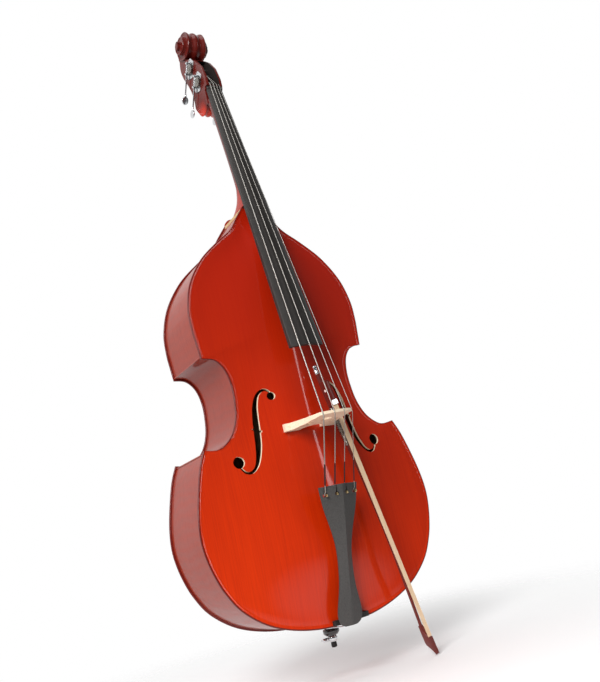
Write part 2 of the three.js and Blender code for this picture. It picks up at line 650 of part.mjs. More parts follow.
// The machine's own frame: Z along the shaft towards the worm's free end, X out of the cheek,
// and Y towards the worm's side of the gear. It is set on the post's axis.
for (const { name, side, y, z } of TUNERS) {
  const machine = new THREE.Group();
  machine.position.set(0, atY(y), atZ(z));
  // shaft direction down and back: local -Z -> (0, sin, -cos)
  machine.rotation.x = key;
  bass.add(machine);
  const out = (x0, x1) => (side > 0 ? [x0, x1] : [-x1, -x0]);

  // plate with two lugs that carry the worm's shaft
  const round = new THREE.Shape();
  const [plateHalf, plateEnd] = [19, 12];
  round.absarc(6, plateHalf, plateEnd, 0, Math.PI / 2);
  round.absarc(-12, plateHalf, plateEnd - 6, Math.PI / 2, Math.PI);
  round.absarc(-12, -plateHalf, plateEnd - 6, Math.PI, 1.5 * Math.PI);
  round.absarc(6, -plateHalf, plateEnd, 1.5 * Math.PI, 2 * Math.PI);
  const sheet = new THREE.ExtrudeGeometry(round,
    { depth: PLATE_OUT, bevelEnabled: false, curveSegments: 4 });
  // shape X -> machine Y, shape Y -> machine Z, depth -> machine X
  sheet.applyMatrix4(new THREE.Matrix4().makeBasis(
    new THREE.Vector3(0, 1, 0), new THREE.Vector3(0, 0, 1), new THREE.Vector3(1, 0, 0)));
  sheet.translate(out(CHEEK + GAP, CHEEK + GAP + PLATE_OUT)[0], 5, 0);
  let platePart = solid(sheet);
  for (const end of [-1, 1]) {
    const lug = block(...out(CHEEK + GAP + PLATE_OUT - 0.5, GEAR_X + 5),
      WORM_OFFSET - 4.5, WORM_OFFSET + 4.5, end * 15.5 - 2.5, end * 15.5 + 2.5);
    platePart = platePart.add(solid(lug));
  }
  const shaftBore = new THREE.CylinderGeometry(2.7, 2.7, 60, 12).rotateX(Math.PI / 2);
  platePart = platePart
    .subtract(solid(shaftBore.translate(side * GEAR_X, WORM_OFFSET, 0)))
    .subtract(solid(cylinderX(POST_RADIUS + 0.5, -60, 60, 0, 0, 14)));
  add(`tuner_${name}_plate`, platePart, CHROME, machine);

  // gear and post, with the string's turns round the post
  const wheel = new THREE.ExtrudeGeometry(gearOutline(), { depth: 5, bevelEnabled: false });
  wheel.applyMatrix4(new THREE.Matrix4().makeBasis(
    new THREE.Vector3(0, 1, 0), new THREE.Vector3(0, 0, 1), new THREE.Vector3(1, 0, 0)));
  wheel.translate(side * GEAR_X - 2.5, 0, 0);
  const postEnds = [-side * (CHEEK - 2), side * (GEAR_X + 4)].sort((a, b) => a - b);
  const string = STRING_RADII[name];
  const coilX = NUT_GAP * { e: -1.5, a: -0.5, d: 0.5, g: 1.5 }[name] * 0.72;
  const coilHalf = Math.min(3.2 * string, 3.4);
  let gear = solid(wheel).add(solid(cylinderX(POST_RADIUS, ...postEnds, 0, 0, 14)));
  gear = gear.add(solid(cylinderX(POST_RADIUS + 2 * string, coilX - coilHalf, coilX + coilHalf, 0, 0, 14)));
  add(`tuner_${name}_gear`, gear, GEAR_STEEL, machine);

  // worm, shaft and paddle key
  const profile = [[0, -SHAFT_LENGTH], [2.3, -SHAFT_LENGTH], [2.3, -20], [4, -20], [4, -18.4], [2.3, -18.4],
    [2.3, -12.6], [WORM_TIP, -12], [WORM_TIP, 12], [2.3, 12.6], [2.3, 18.4], [4, 18.4], [4, 20], [0, 20]];
  const worm = turned(profile, 12).translate(side * GEAR_X, WORM_OFFSET, 0);
  const paddle = new THREE.Shape();
  paddle.absarc(0, -12, 12.5, Math.PI * 0.62, Math.PI * 2.38);
  paddle.lineTo(2.6, 8);
  paddle.lineTo(-2.6, 8);
  const leaf = new THREE.ExtrudeGeometry(paddle, { depth: 4.4, bevelEnabled: false, curveSegments: 14 });
  // The lower key of each pair is turned edge on, clear of the chin, and the upper one shows its face.
  leaf.translate(0, 0, -2.2).rotateX(Math.PI / 2).rotateZ(name === 'e' || name === 'g' ? Math.PI / 2 : 0.35);
  leaf.translate(side * GEAR_X, WORM_OFFSET, -SHAFT_LENGTH - 4);
  add(`tuner_${name}_key`, solid(worm).add(solid(leaf)), CHROME, machine);
}

// ---- bridge ----
// Outline of the right half as [x, depth], from under the arch round the foot to the crown.
const BRIDGE_FOOT_Y = -33;
const BRIDGE_HALF = [[0, -66], [12, -64], [24, -55], [30, -44], [30, BRIDGE_FOOT_Y],
  [75, BRIDGE_FOOT_Y + 3.5], [75, -39], [60, -42], [57, -60], [52, -84], [48, -98], [50, -118],
  [47, -134], [46, -162]];
const CROWN_RADIUS = 108;
const crownOf = (x) => BRIDGE_TOP_Y + CROWN_RADIUS - Math.sqrt(CROWN_RADIUS ** 2 - x * x);
const bridgeThick = (y) =>
  THREE.MathUtils.lerp(19, 6.5, (BRIDGE_FOOT_Y - y) / (BRIDGE_FOOT_Y - BRIDGE_TOP_Y));
const crownArc = [44, 30, 15].map((x) => [x, crownOf(x)]);
const bridgeHalf = [...BRIDGE_HALF, ...crownArc];
const bridgeMirror = [...bridgeHalf].reverse().slice(0, -1).map(([x, y]) => [-x, y]);
const bridgeOutline = [...bridgeHalf, [0, BRIDGE_TOP_Y], ...bridgeMirror];

function opening(points) {
  const path = new THREE.Path();
  const curve = new THREE.SplineCurve([...points, points[0]].map(([x, y]) => new THREE.Vector2(x, y)));
  path.setFromPoints(curve.getSpacedPoints(14).slice(0, 14));
  return path;
}
const kidney = (side) => opening([[side * 26, -74], [side * 40, -80], [side * 42, -97], [side * 36, -108],
  [side * 33, -98], [side * 30, -88]]);
const heart = opening([[0, -98], [11, -106], [13, -122], [5, -130], [0, -124], [-5, -130],
  [-13, -122], [-11, -106]]);
const bridgeShape = new THREE.Shape([...bridgeOutline].reverse().map(([x, y]) => new THREE.Vector2(x, y)));
bridgeShape.holes.push(kidney(1), kidney(-1), heart);
const bridgeBody = new THREE.ExtrudeGeometry(bridgeShape, { depth: 1, bevelEnabled: false })
  .translate(0, 0, -0.5);
{
  const p = bridgeBody.attributes.position;
  for (let i = 0; i < p.count; i++) {
    p.setZ(i, atZ(BRIDGE_Z) + p.getZ(i) * bridgeThick(p.getY(i)));
    p.setY(i, atY(p.getY(i)));
  }
}
// The feet are fitted to the arching under them.
const footRoom = solid(frontShell).translate(0, -GAP, 0);
const underFeet = footRoom.add(footRoom.translate(0, 5, 0)).add(footRoom.translate(0, 10, 0));
add('bridge', solid(bridgeBody).subtract(underFeet), MAPLE);

// ---- tailpiece, ridged along its middle ----
// Height, half-width, depth of the edge and of the ridge, each on the body.
const TAIL_SECTIONS = [[TAIL_TOP, 56, -91, -113], [268, 47, -81, -101], [204, 28, -68, -84],
  [155, 20.5, -57, -70], [92, 22.5, -43, -54], [29, 34, -29, -40], [5, 30, -25, -35],
  [TAIL_FOOT, 17, -24.5, -32]];
function tailRing([z, half, edgeY, ridgeY]) {
  const under = edgeY + 4.5;
  const section = [[-half, edgeY], [0, ridgeY], [half, edgeY], [half * 0.96, under], [-half * 0.96, under]];
  return section.map(([x, y]) => new THREE.Vector3(x, atY(y), atZ(z)));
}
const tailHoles = [-1.5, -0.5, 0.5, 1.5].map((k) => k * STRING_GAP);
let tail = solid(loft(TAIL_SECTIONS.map(tailRing)));
for (const x of tailHoles) {
  const hole = new THREE.CylinderGeometry(4.2, 4.2, 60, 16).translate(x, atY(-95), atZ(TAIL_TOP - 20));
  const slot = block(x - 1.7, x + 1.7, atY(-125), atY(-75), atZ(TAIL_TOP - 18), atZ(TAIL_TOP + 5));
  tail = tail.subtract(solid(hole)).subtract(solid(slot));
}
for (const side of [-1, 1]) {
  const socket = block(side * 9 - 2.4, side * 9 + 2.4, atY(-28), atY(-10), atZ(12), atZ(30));
  tail = tail.subtract(solid(socket));
}
const lean = THREE.MathUtils.degToRad(TAIL_LEAN);
const leanedTail = tail.translate(0, 0, -atZ(TAIL_TOP))
  .rotate(0, TAIL_LEAN, 0)
  .translate(0, 0, atZ(TAIL_TOP));
add('tailpiece', leanedTail, TAIL_BLACK);

// ---- saddle and tail wire ----
const SADDLE = { half: 50, top: -15, z0: 3, z1: 15 };
const saddleOutline = [[-SADDLE.half, SADDLE.z0], [SADDLE.half, SADDLE.z0], [SADDLE.half, SADDLE.z1],
  [-SADDLE.half, SADDLE.z1]];
const saddleBlock = planPrism(saddleOutline, atY(SADDLE.top), atY(-EDGE_HALF) - GAP);
add('saddle', saddleBlock.translate(0, 0, PLATE_FOOT), EBONY);

const WIRE = 1.6;
const footX = -Math.sin(lean) * (TAIL_TOP - 13);
const COLLAR = { top: 54, waist: 49, foot: 30, radius: 21, neck: 14 };
const wireSide = (k) => [
  new THREE.Vector3(footX + 9 * k, atY(-24.8), atZ(26)),
  new THREE.Vector3(footX + 9 * k, atY(-21.4), atZ(21)),
  new THREE.Vector3(footX + 9 * k, atY(-17.9), atZ(12)),
  new THREE.Vector3(footX * 0.9 + 9.5 * k, atY(-17.9), atZ(4)),
  new THREE.Vector3(footX * 0.86 + 10 * k, atY(-12.4), atZ(-3.4)),
  new THREE.Vector3(footX * 0.78 + 10.5 * k, atY(0), atZ(-4.6)),
  new THREE.Vector3(footX * 0.4 + 13.5 * k, atY(50), COLLAR.waist + 1.8),
  new THREE.Vector3(18 * k, -8, COLLAR.waist),
];
const wireBend = [[-12.8, 12.8], [0, 18], [12.8, 12.8]]
  .map(([x, y]) => new THREE.Vector3(x, y, COLLAR.waist));
const wirePath = [...wireSide(-1), ...wireBend, ...wireSide(1).reverse()];
add('tail_wire', wholesome(tube(wirePath, WIRE, 44, 6)), STEEL);

// ---- endpin: turned pieces on the Z axis ----
const ROD = { radius: 5, top: 430 };
const RING_BORE = ROD.radius + 0.5;
const plug = turned([[RING_BORE, COLLAR.foot], [17, COLLAR.foot], [COLLAR.radius, 36],
  [COLLAR.radius, 43], [COLLAR.neck, 46.4], [COLLAR.neck, 51.6], [20, 53], [20, 60],
  [ENDPIN_BORE - GAP, 62.4], [12.5, 112], [RING_BORE, 112], [RING_BORE, COLLAR.foot]], 24);
add('endpin_plug', plug, GLOSS_BLACK);

const FERRULE = { top: COLLAR.foot - GAP, foot: 14 + GAP, radius: 12.5 };
const SCREW_Z = 22;
const SCREW_RADIUS = 3;
const sleeve = turned([[RING_BORE, FERRULE.foot], [9.5, FERRULE.foot], [11, 17], [FERRULE.radius, 19],
  [FERRULE.radius, 26], [10.5, FERRULE.top], [RING_BORE, FERRULE.top], [RING_BORE, FERRULE.foot]], 24);
const screwBore = cylinderX(SCREW_RADIUS + 0.4, -40, 0, 0, SCREW_Z, 14);
add('endpin_ferrule', solid(sleeve).subtract(solid(screwBore)), CHROME);

// The rod has ring grooves along it, and the wing screw bears on it.
const rodProfile = [[0, 6], [ROD.radius, 6]];
for (let z = 120; z < ROD.top - 20; z += 70) {
  rodProfile.push([ROD.radius, z - 3], [ROD.radius - 1, z - 1.5],
    [ROD.radius - 1, z + 1.5], [ROD.radius, z + 3]);
}
rodProfile.push([ROD.radius, ROD.top - 2], [ROD.radius - 2, ROD.top], [0, ROD.top]);
add('endpin_rod', turned(rodProfile, 12), CHROME);
const tip = turned([[0, 0], [5, 0], [6.8, 1.6], [7.4, 6], [6.6, 12], [5.5, 14], [ROD.radius + GAP, 14],
  [ROD.radius + GAP, 6 - GAP], [0, 6 - GAP]], 20);
add('endpin_tip', tip, RUBBER);

// The wings are far enough out to pass under the collar when the screw is turned.
const WING = { x: -26, off: 6.3, long: 4.2, wide: 5.5, thick: 2.4 };
const screwShaft = cylinderX(SCREW_RADIUS, -29, -ROD.radius - GAP, 0, SCREW_Z, 14);
const screwBoss = cylinderX(4.6, -28, -14, 0, SCREW_Z, 14);
let wings = solid(screwShaft).add(solid(screwBoss));
for (const side of [-1, 1]) {
  const wing = new THREE.CylinderGeometry(1, 1, WING.thick, 14)
    .rotateX(Math.PI / 2)
    .scale(WING.long, WING.wide, 1);
  wings = wings.add(solid(wing.translate(WING.x, side * WING.off, SCREW_Z)));
}
add('endpin_screw', wings, CHROME);

// ---- strings ----
const STRING_ORDER = ['e', 'a', 'd', 'g'];
const STRING_SIDES = 6;
STRING_ORDER.forEach((name, i) => {
  const radius = STRING_RADII[name];
  const place = i - 1.5;
  const atBridge = place * STRING_GAP;
  const atNut = place * NUT_GAP;
  const tuner = TUNERS.find((t) => t.name === name);
  const coilX = atNut * 0.72;
  const wound = POST_RADIUS + 2 * radius;
  const off = radius + GAP;
  const half = boardHalf(NUT_Z);
  const sag = boardSag(NUT_Z);
  const nutRadius = (half * half + sag * sag) / (2 * sag);
  const nutY = crownY(NUT_Z) + nutRadius - Math.sqrt(nutRadius ** 2 - atNut ** 2) - 2.2 - off;
  // the string ends a little short of its turns on the post
  const toPost = Math.atan2(tuner.y - nutY, tuner.z - (NUT_Z + 12));
  const reach = wound + off + 0.8;
  const endY = tuner.y - reach * Math.cos(toPost);
  const endZ = tuner.z + reach * Math.sin(toPost) - 1;
  const leanX = (x, z) => x - Math.sin(lean) * (TAIL_TOP - z);
  const points = [
    new THREE.Vector3(leanX(atBridge, TAIL_TOP - 19), atY(-88), atZ(TAIL_TOP - 20)),
    new THREE.Vector3(leanX(atBridge, TAIL_TOP - 12), atY(-96), atZ(TAIL_TOP - 13)),
    new THREE.Vector3(leanX(atBridge, TAIL_TOP), atY(-100), atZ(TAIL_TOP + 2)),
    new THREE.Vector3(atBridge, atY(crownOf(atBridge)) - off - 1.5, atZ(BRIDGE_Z - 7)),
    new THREE.Vector3(atBridge, atY(crownOf(atBridge)) - off - 0.4, atZ(BRIDGE_Z)),
    new THREE.Vector3(atBridge, atY(crownOf(atBridge)) - off - 0.2, atZ(BRIDGE_Z + 7)),
    new THREE.Vector3(atNut, atY(nutY), atZ(NUT_Z - 2)),
    new THREE.Vector3(atNut, atY(nutY), atZ(NUT_Z + 6)),
    new THREE.Vector3(atNut * 0.97, atY(nutY + 1.5), atZ(NUT_Z + 13)),
    new THREE.Vector3(coilX, atY(endY), atZ(endZ)),
  ];
  add(`string_${name}`, stringOf(points, radius), STEEL);
});

// A tube with one ring of points at each bend of a string.
function stringOf(points, radius) {
  const rings = points.map((p, i) => {
    const before = points[Math.max(i - 1, 0)];
    const after = points[Math.min(i + 1, points.length - 1)];
    const along = new THREE.Vector3().subVectors(after, before).normalize();
    const across = new THREE.Vector3(1, 0, 0).addScaledVector(along, -along.x).normalize();
    const third = new THREE.Vector3().crossVectors(along, across);
    return Array.from({ length: STRING_SIDES }, (_, k) => {
      const a = 2 * Math.PI * k / STRING_SIDES;
      return p.clone()
        .addScaledVector(across, radius * Math.cos(a))
        .addScaledVector(third, radius * Math.sin(a));
    });
  });
  return loft(rings);
}

// ---- bow ----
// The bow's own frame: Z runs along the stick from the button to the head, and the hair is on -Y.
const BUTTON_AT = new THREE.Vector3(43, atY(-53), atZ(616));
const HEAD_AT = new THREE.Vector3(180, atY(-33), atZ(-73));
const BOW_LENGTH = BUTTON_AT.distanceTo(HEAD_AT);
const bow = new THREE.Group();
const bowZ = new THREE.Vector3().subVectors(HEAD_AT, BUTTON_AT).normalize();
const bowX = new THREE.Vector3().crossVectors(new THREE.Vector3(0, 1, 0), bowZ).normalize();
const bowY = new THREE.Vector3().crossVectors(bowZ, bowX);
bow.applyMatrix4(new THREE.Matrix4().makeBasis(bowX, bowY, bowZ).setPosition(BUTTON_AT));
bass.add(bow);

const STICK_START = 12;
const HAIR_OFF = -24;             // from the stick's axis at the frog to the hair
const CAMBER = 15;                // how far the stick's middle dips towards the hair
const camber = (z) => {
  const share = THREE.MathUtils.clamp((z - 100) / (BOW_LENGTH - 100), 0, 1);
  return -CAMBER * Math.sin(Math.PI * share) ** 1.2;
};
const stickRadius = (z) => THREE.MathUtils.lerp(5.6, 3.9, z / BOW_LENGTH);
const ringAt = (z, r, sides, dy = camber(z)) => Array.from({ length: sides }, (_, k) => {
  const a = 2 * Math.PI * (k + 0.5) / sides;
  return new THREE.Vector3(r * Math.cos(a), dy + r * Math.sin(a), z);
});
const stickHeights = [STICK_START + GAP, 100, 150, 210, 270, 330, 390, 450, 510, 570, 630, 690];
const stickRings = stickHeights.map((z) => ringAt(z, stickRadius(z), 8));
// Head: the stick's end turns down to the hair and comes to a point ahead of it.
const HEAD_PROFILE = [[4.4, 684], [-3.9, 684], [-8, 697], [-13, 707], [-20, 712], [-21.5, 755], [-17, 749],
  [-11, 743], [-4, 738], [1.5, 733], [4, 727]];
const headSolid = sidePrism(HEAD_PROFILE, -5.2, 5.2);
add('bow_stick', solid(loft(stickRings)).add(solid(headSolid)), BOW_WOOD, bow);
const facing = [[-20 - GAP, 712.5], [-21.5 - GAP, 755], [-23.2, 755], [-22.3, 712.5]];
add('bow_head_plate', sidePrism(facing, -5.4, 5.4), BOW_WOOD, bow);

const SCREW_BUTTON = [[0, -12], [3, -12], [5.6, -10.6], [6, -7], [5.4, -5], [5.4, 5], [6, 6], [6, 11],
  [5.2, 12], [0, 12]];
add('bow_button', turned(SCREW_BUTTON, 16), STEEL, bow);

const FROG = { back: 34, front: 88, top: -6.2, half: 8 };
const frogShape = [[FROG.top, FROG.back + 4], [FROG.top, FROG.front + 13], [-13, FROG.front + 12],
  [-17.5, FROG.front + 4], [-18.6, FROG.front], [HAIR_OFF - 3.4, FROG.front],
  [HAIR_OFF - 3.4, FROG.back + 5], [-20, FROG.back],
  [-9, FROG.back + 1]];
const mortise = block(-7.2, 7.2, HAIR_OFF - 0.9, HAIR_OFF + 1.1, FROG.front - 22, FROG.front + 2);
const eye = { z: 60, y: -16, radius: 4.2 };
const eyeHole = solid(cylinderX(eye.radius, -FROG.half - 1, -FROG.half + 1.2, eye.y, eye.z, 16));
const eyeHoleRight = solid(cylinderX(eye.radius, FROG.half - 1.2, FROG.half + 1, eye.y, eye.z, 16));
add('bow_frog', solid(sidePrism(frogShape, -FROG.half, FROG.half)).subtract(solid(mortise)).subtract(eyeHole)
  .subtract(eyeHoleRight), BOW_WOOD, bow);
for (const [word, side] of [['left', -1], ['right', 1]]) {
  const inner = side * (FROG.half - 1.2 + GAP);
  const ends = [inner, side * (FROG.half + 0.1)].sort((a, b) => a - b);
  add(`bow_eye_${word}`, wholesome(cylinderX(eye.radius - GAP, ...ends, eye.y, eye.z, 16)), PEARL, bow);
}

const ferruleOuter = block(-9, 9, HAIR_OFF - 3.4, -18.8, FROG.front + GAP, FROG.front + 13);
const ferruleHole = block(-7.6, 7.6, HAIR_OFF - 1, HAIR_OFF + 1.2, FROG.front - 3, FROG.front + 20);
add('bow_ferrule', solid(ferruleOuter).subtract(solid(ferruleHole)), CHROME, bow);

const hairRing = (z, half, y) => [[-half, y - 0.5], [half, y - 0.5], [half, y + 0.5], [-half, y + 0.5]]
  .map(([x, yy]) => new THREE.Vector3(x, yy, z));
const HAIR = { from: FROG.front - 12, to: 711.6, half: 6.9, headHalf: 5.6, headY: -20.4 };
const hairPlaces = [0, 0.25, 0.5, 0.75, 1];
add('bow_hair', loft(hairPlaces.map((t) => hairRing(
  THREE.MathUtils.lerp(HAIR.from, HAIR.to, t), THREE.MathUtils.lerp(HAIR.half, HAIR.headHalf, t),
  THREE.MathUtils.lerp(HAIR_OFF, HAIR.headY, t)))), HORSEHAIR, bow);

const GRIP = { from: 106, to: 208 };
const gripHeights = [GRIP.from, 130, 155, 180, GRIP.to];
const gripOuter = gripHeights.map((z) => ringAt(z, stickRadius(z) + 1.5, 12));
const gripInner = gripHeights.map((z) => ringAt(z, stickRadius(z) + GAP + 0.3, 12));
const grip = solid(loft(gripOuter)).subtract(solid(loft([
  ringAt(GRIP.from - 2, stickRadius(GRIP.from) + GAP + 0.3, 12, camber(GRIP.from)), ...gripInner,
  ringAt(GRIP.to + 2, stickRadius(GRIP.to) + GAP + 0.3, 12, camber(GRIP.to))])));
add('bow_grip', grip, STEEL, bow);

export default bass;
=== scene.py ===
# %% [markdown]
# # A double bass and its bow
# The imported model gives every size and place. This lesson builds the fine surface around it:
# arched plates with a real rim, a carved scroll, wound strings, and finishes made of shader nodes.

# %% Load the frame
import json
import math

import bmesh
import bpy
from mathutils import Matrix, Vector
from mathutils.bvhtree import BVHTree


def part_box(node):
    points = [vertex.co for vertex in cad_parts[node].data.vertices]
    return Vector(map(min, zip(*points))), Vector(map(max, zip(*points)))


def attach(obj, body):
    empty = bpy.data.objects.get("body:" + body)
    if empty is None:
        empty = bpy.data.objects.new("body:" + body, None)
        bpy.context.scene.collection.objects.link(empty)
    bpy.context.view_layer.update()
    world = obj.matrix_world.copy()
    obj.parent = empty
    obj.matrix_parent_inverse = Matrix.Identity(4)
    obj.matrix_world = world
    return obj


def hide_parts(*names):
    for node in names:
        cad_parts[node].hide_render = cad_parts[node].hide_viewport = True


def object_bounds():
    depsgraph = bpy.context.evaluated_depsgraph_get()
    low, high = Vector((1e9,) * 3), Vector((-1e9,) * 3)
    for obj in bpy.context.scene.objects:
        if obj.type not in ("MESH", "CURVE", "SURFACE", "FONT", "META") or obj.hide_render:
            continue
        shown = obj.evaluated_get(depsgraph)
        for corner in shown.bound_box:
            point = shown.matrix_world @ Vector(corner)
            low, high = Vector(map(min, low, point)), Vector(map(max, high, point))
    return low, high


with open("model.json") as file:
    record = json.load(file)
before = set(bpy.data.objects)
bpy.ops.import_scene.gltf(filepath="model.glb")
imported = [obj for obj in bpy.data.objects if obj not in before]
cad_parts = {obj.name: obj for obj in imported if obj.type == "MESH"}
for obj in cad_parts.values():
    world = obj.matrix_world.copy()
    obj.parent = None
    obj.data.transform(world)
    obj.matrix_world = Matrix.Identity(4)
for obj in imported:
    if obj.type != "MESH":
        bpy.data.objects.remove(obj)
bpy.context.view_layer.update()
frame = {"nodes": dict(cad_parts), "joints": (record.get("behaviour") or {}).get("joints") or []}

# %% [markdown]
# ## Where things are
# A maker measures a bass from the plane of the front's edge and from the lowest point of the body.
# The front plate's box gives both, and the joints give the tuning machines and the bow.

# %% Body measures, in millimetres
MM = 0.001
PLATE_THICK = 6.5
EDGE_OUT = 2.5
plate_low, plate_high = (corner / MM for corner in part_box("top_plate"))
FOOT = plate_low.z
FRONT = plate_high.y - (PLATE_THICK - EDGE_OUT)
BACK = FRONT + 193
joints = {joint["name"]: joint for joint in frame["joints"]}


def at(x, y, z):
    """A point measured on the body, in the part's frame."""
    return Vector((x, y + FRONT, z + FOOT))


print("body starts at", round(FOOT, 1), "front plane at", round(FRONT, 1))

# %% [markdown]
# ## Curves and skins
# Nearly every piece is a row of rings skinned one to the next, as a boat is planked over its frames.
# Round outlines come from a curve through a few points, so a shape stays easy to change.

# %% Helpers: curves and lofts


def lerp(a, b, t):
    return a + (b - a) * t


def clamp(value, low, high):
    return max(low, min(high, value))


def smoothstep(value, low, high):
    t = clamp((value - low) / (high - low), 0, 1)
    return t * t * (3 - 2 * t)


def catmull(points, t):
    """The point at share t of a smooth curve through the given points."""
    place = clamp(t, 0, 1) * (len(points) - 1)
    i = min(int(place), len(points) - 2)
    u = place - i
    p0, p1 = points[max(i - 1, 0)], points[i]
    p2, p3 = points[i + 1], points[min(i + 2, len(points) - 1)]
    return tuple(
        b + 0.5 * u * (c - a + u * (2 * a - 5 * b + 4 * c - d + u * (3 * (b - c) + d - a)))
        for a, b, c, d in zip(p0, p1, p2, p3)
    )


def spline(points, count):
    """Evenly spaced points along the curve, both ends included."""
    fine = [Vector(catmull(points, i / 400)) for i in range(401)]
    run = [0.0]
    for a, b in zip(fine, fine[1:]):
        run.append(run[-1] + (b - a).length)
    spaced, k = [], 0
    for i in range(count + 1):
        goal = run[-1] * i / count
        while k < len(run) - 2 and run[k + 1] < goal:
            k += 1
        spaced.append(fine[k].lerp(fine[k + 1], (goal - run[k]) / (run[k + 1] - run[k])))
    return spaced


def loft(rings, caps=True):
    """Vertices and faces of rings of points skinned one to the next."""
    count = len(rings[0])
    verts = [p for ring in rings for p in ring]
    faces = []
    for r in range(len(rings) - 1):
        for i in range(count):
            j = (i + 1) % count
            faces.append((r * count + i, r * count + j, (r + 1) * count + j, (r + 1) * count + i))
    if caps:
        faces.append(tuple(range(count - 1, -1, -1)))
        faces.append(tuple(range((len(rings) - 1) * count, len(rings) * count)))
    return verts, faces


def tube(path, radius, sides=12):
    """A round tube along a path; radius is a number or a function of the share of the way along."""
    size = radius if callable(radius) else (lambda t: radius)
    rings, side = [], Vector((1, 0, 0))
    for i, p in enumerate(path):
        along = (path[min(i + 1, len(path) - 1)] - path[max(i - 1, 0)]).normalized()
        side = (side - along * side.dot(along)).normalized()
        other = along.cross(side)
        r = size(i / (len(path) - 1))
        turn = [2 * math.pi * k / sides for k in range(sides)]
        rings.append([p + side * (r * math.cos(a)) + other * (r * math.sin(a)) for a in turn])
    return loft(rings)


def turned(profile, sides=48, place=lambda x, y, z: Vector((x, y, z))):
    """A turned piece about Z from radius and height pairs; a closed profile makes a bored one."""
    bored = profile[0] == profile[-1]
    rows = profile[:-1] if bored else profile
    turn = [2 * math.pi * k / sides for k in range(sides)]
    rings = [[place(r * math.cos(a), r * math.sin(a), h) for a in turn] for r, h in rows]
    return loft(rings + rings[:1], caps=False) if bored else loft(rings, caps=False)


def sheet_cut(outline, holes, thick, bevel, place):
    """A flat piece sawn from a sheet: an outline with holes, a thickness and softened edges."""
    curve = bpy.data.curves.new("cutting", "CURVE")
    curve.dimensions = "2D"
    curve.fill_mode = "BOTH"
    curve.extrude = thick / 2 - bevel
    curve.bevel_depth = bevel
    curve.bevel_resolution = 2
    curve.offset = -bevel
    for loop in [outline, *holes]:
        run = curve.splines.new("POLY")
        run.points.add(len(loop) - 1)
        for point, (u, v) in zip(run.points, loop):
            point.co = (u, v, 0, 1)
        run.use_cyclic_u = True
    holder = bpy.data.objects.new("cutting", curve)
    bpy.context.scene.collection.objects.link(holder)
    shape = bpy.data.meshes.new_from_object(holder.evaluated_get(bpy.context.evaluated_depsgraph_get()))
    verts = [place(*v.co) for v in shape.vertices]
    faces = [tuple(p.vertices) for p in shape.polygons]
    bpy.data.objects.remove(holder)
    bpy.data.curves.remove(curve)
    bpy.data.meshes.remove(shape)
    return verts, faces


def together(*parts):
    """Several skins as one."""
    verts, faces = [], []
    for v, f in parts:
        faces += [tuple(i + len(verts) for i in face) for face in f]
        verts += v
    return verts, faces


print("curve, loft, tube, turned and sawn shapes are ready")

# %% [markdown]
# ## From shape to piece
# A piece is welded, its faces turned outwards and its sharp edges marked, and then it rides on a body.
# It hides the imported node that it stands for.

# %% Helper: piece


def skin(name, shape, finishes, crease=35, picks=None):
    """A mesh object from millimetre points. picks gives each face's finish."""
    verts, faces = shape
    mesh = bpy.data.meshes.new(name)
    mesh.from_pydata([Vector(v) * MM for v in verts], [], faces)
    if picks:
        mesh.polygons.foreach_set("material_index", picks)
    work = bmesh.new()
    work.from_mesh(mesh)
    bmesh.ops.remove_doubles(work, verts=work.verts, dist=0.00002)
    bmesh.ops.dissolve_degenerate(work, edges=work.edges, dist=0.000005)
    bmesh.ops.recalc_face_normals(work, faces=work.faces)
    for face in work.faces:
        face.smooth = True
    work.to_mesh(mesh)
    work.free()
    for finish in finishes:
        mesh.materials.append(finish)
    mesh.set_sharp_from_angle(angle=math.radians(crease))
    made = bpy.data.objects.new(name, mesh)
    bpy.context.scene.collection.objects.link(made)
    return made


def bevelled(made, width, segments=2):
    bevel = made.modifiers.new("soft_edges", "BEVEL")
    bevel.width = width * MM
    bevel.segments = segments
    bevel.limit_method = "ANGLE"
    bevel.angle_limit = math.radians(40)
    return made


def placed(made, body, slot, *nodes):
    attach(made, body)
    if nodes:
        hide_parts(*nodes)
    return made


def carved(made, cutter, crease=40):
    """Cuts one skin out of another; the cut faces keep the cutter's finish and meet at a sharp edge."""
    cut = made.modifiers.new("cut", "BOOLEAN")
    cut.object = cutter
    cut.operation = "DIFFERENCE"
    cut.solver = "EXACT"
    cut.material_mode = "TRANSFER"
    bpy.context.view_layer.update()
    done = bpy.data.meshes.new_from_object(made.evaluated_get(bpy.context.evaluated_depsgraph_get()))
    made.modifiers.clear()
    done.set_sharp_from_angle(angle=math.radians(crease))
    made.data = done
    bpy.data.objects.remove(cutter)
    return made


print("pieces can be skinned, bevelled, carved and placed")

# %% [markdown]
# ## Writing shaders as sums
# A mask such as `1 - edge * 0.5` is easier to read than three Math nodes.
# `Wire` wraps a socket so that Python's own operators add those nodes.

# %% Helper: Wire and Finish


def colour(red, green, blue):
    """A linear colour from a display colour of 0 to 255."""
    return tuple(
        (c / 255 / 12.92) if c <= 10 else ((c / 255 + 0.055) / 1.055) ** 2.4 for c in (red, green, blue)
    ) + (1.0,)


class Wire:
    """A socket that can be written into a sum."""

    def __init__(self, finish, socket):
        self.finish = finish
        self.socket = socket

    def _sum(self, operation, first, second):
        return self.finish.node("ShaderNodeMath", {"operation": operation}, {0: first, 1: second})

    def __add__(self, other):
        return self._sum("ADD", self, other)

    def __sub__(self, other):
        return self._sum("SUBTRACT", self, other)

    def __rsub__(self, other):
        return self._sum("SUBTRACT", other, self)

    def __mul__(self, other):
        return self._sum("MULTIPLY", self, other)

    __radd__ = __add__
    __rmul__ = __mul__


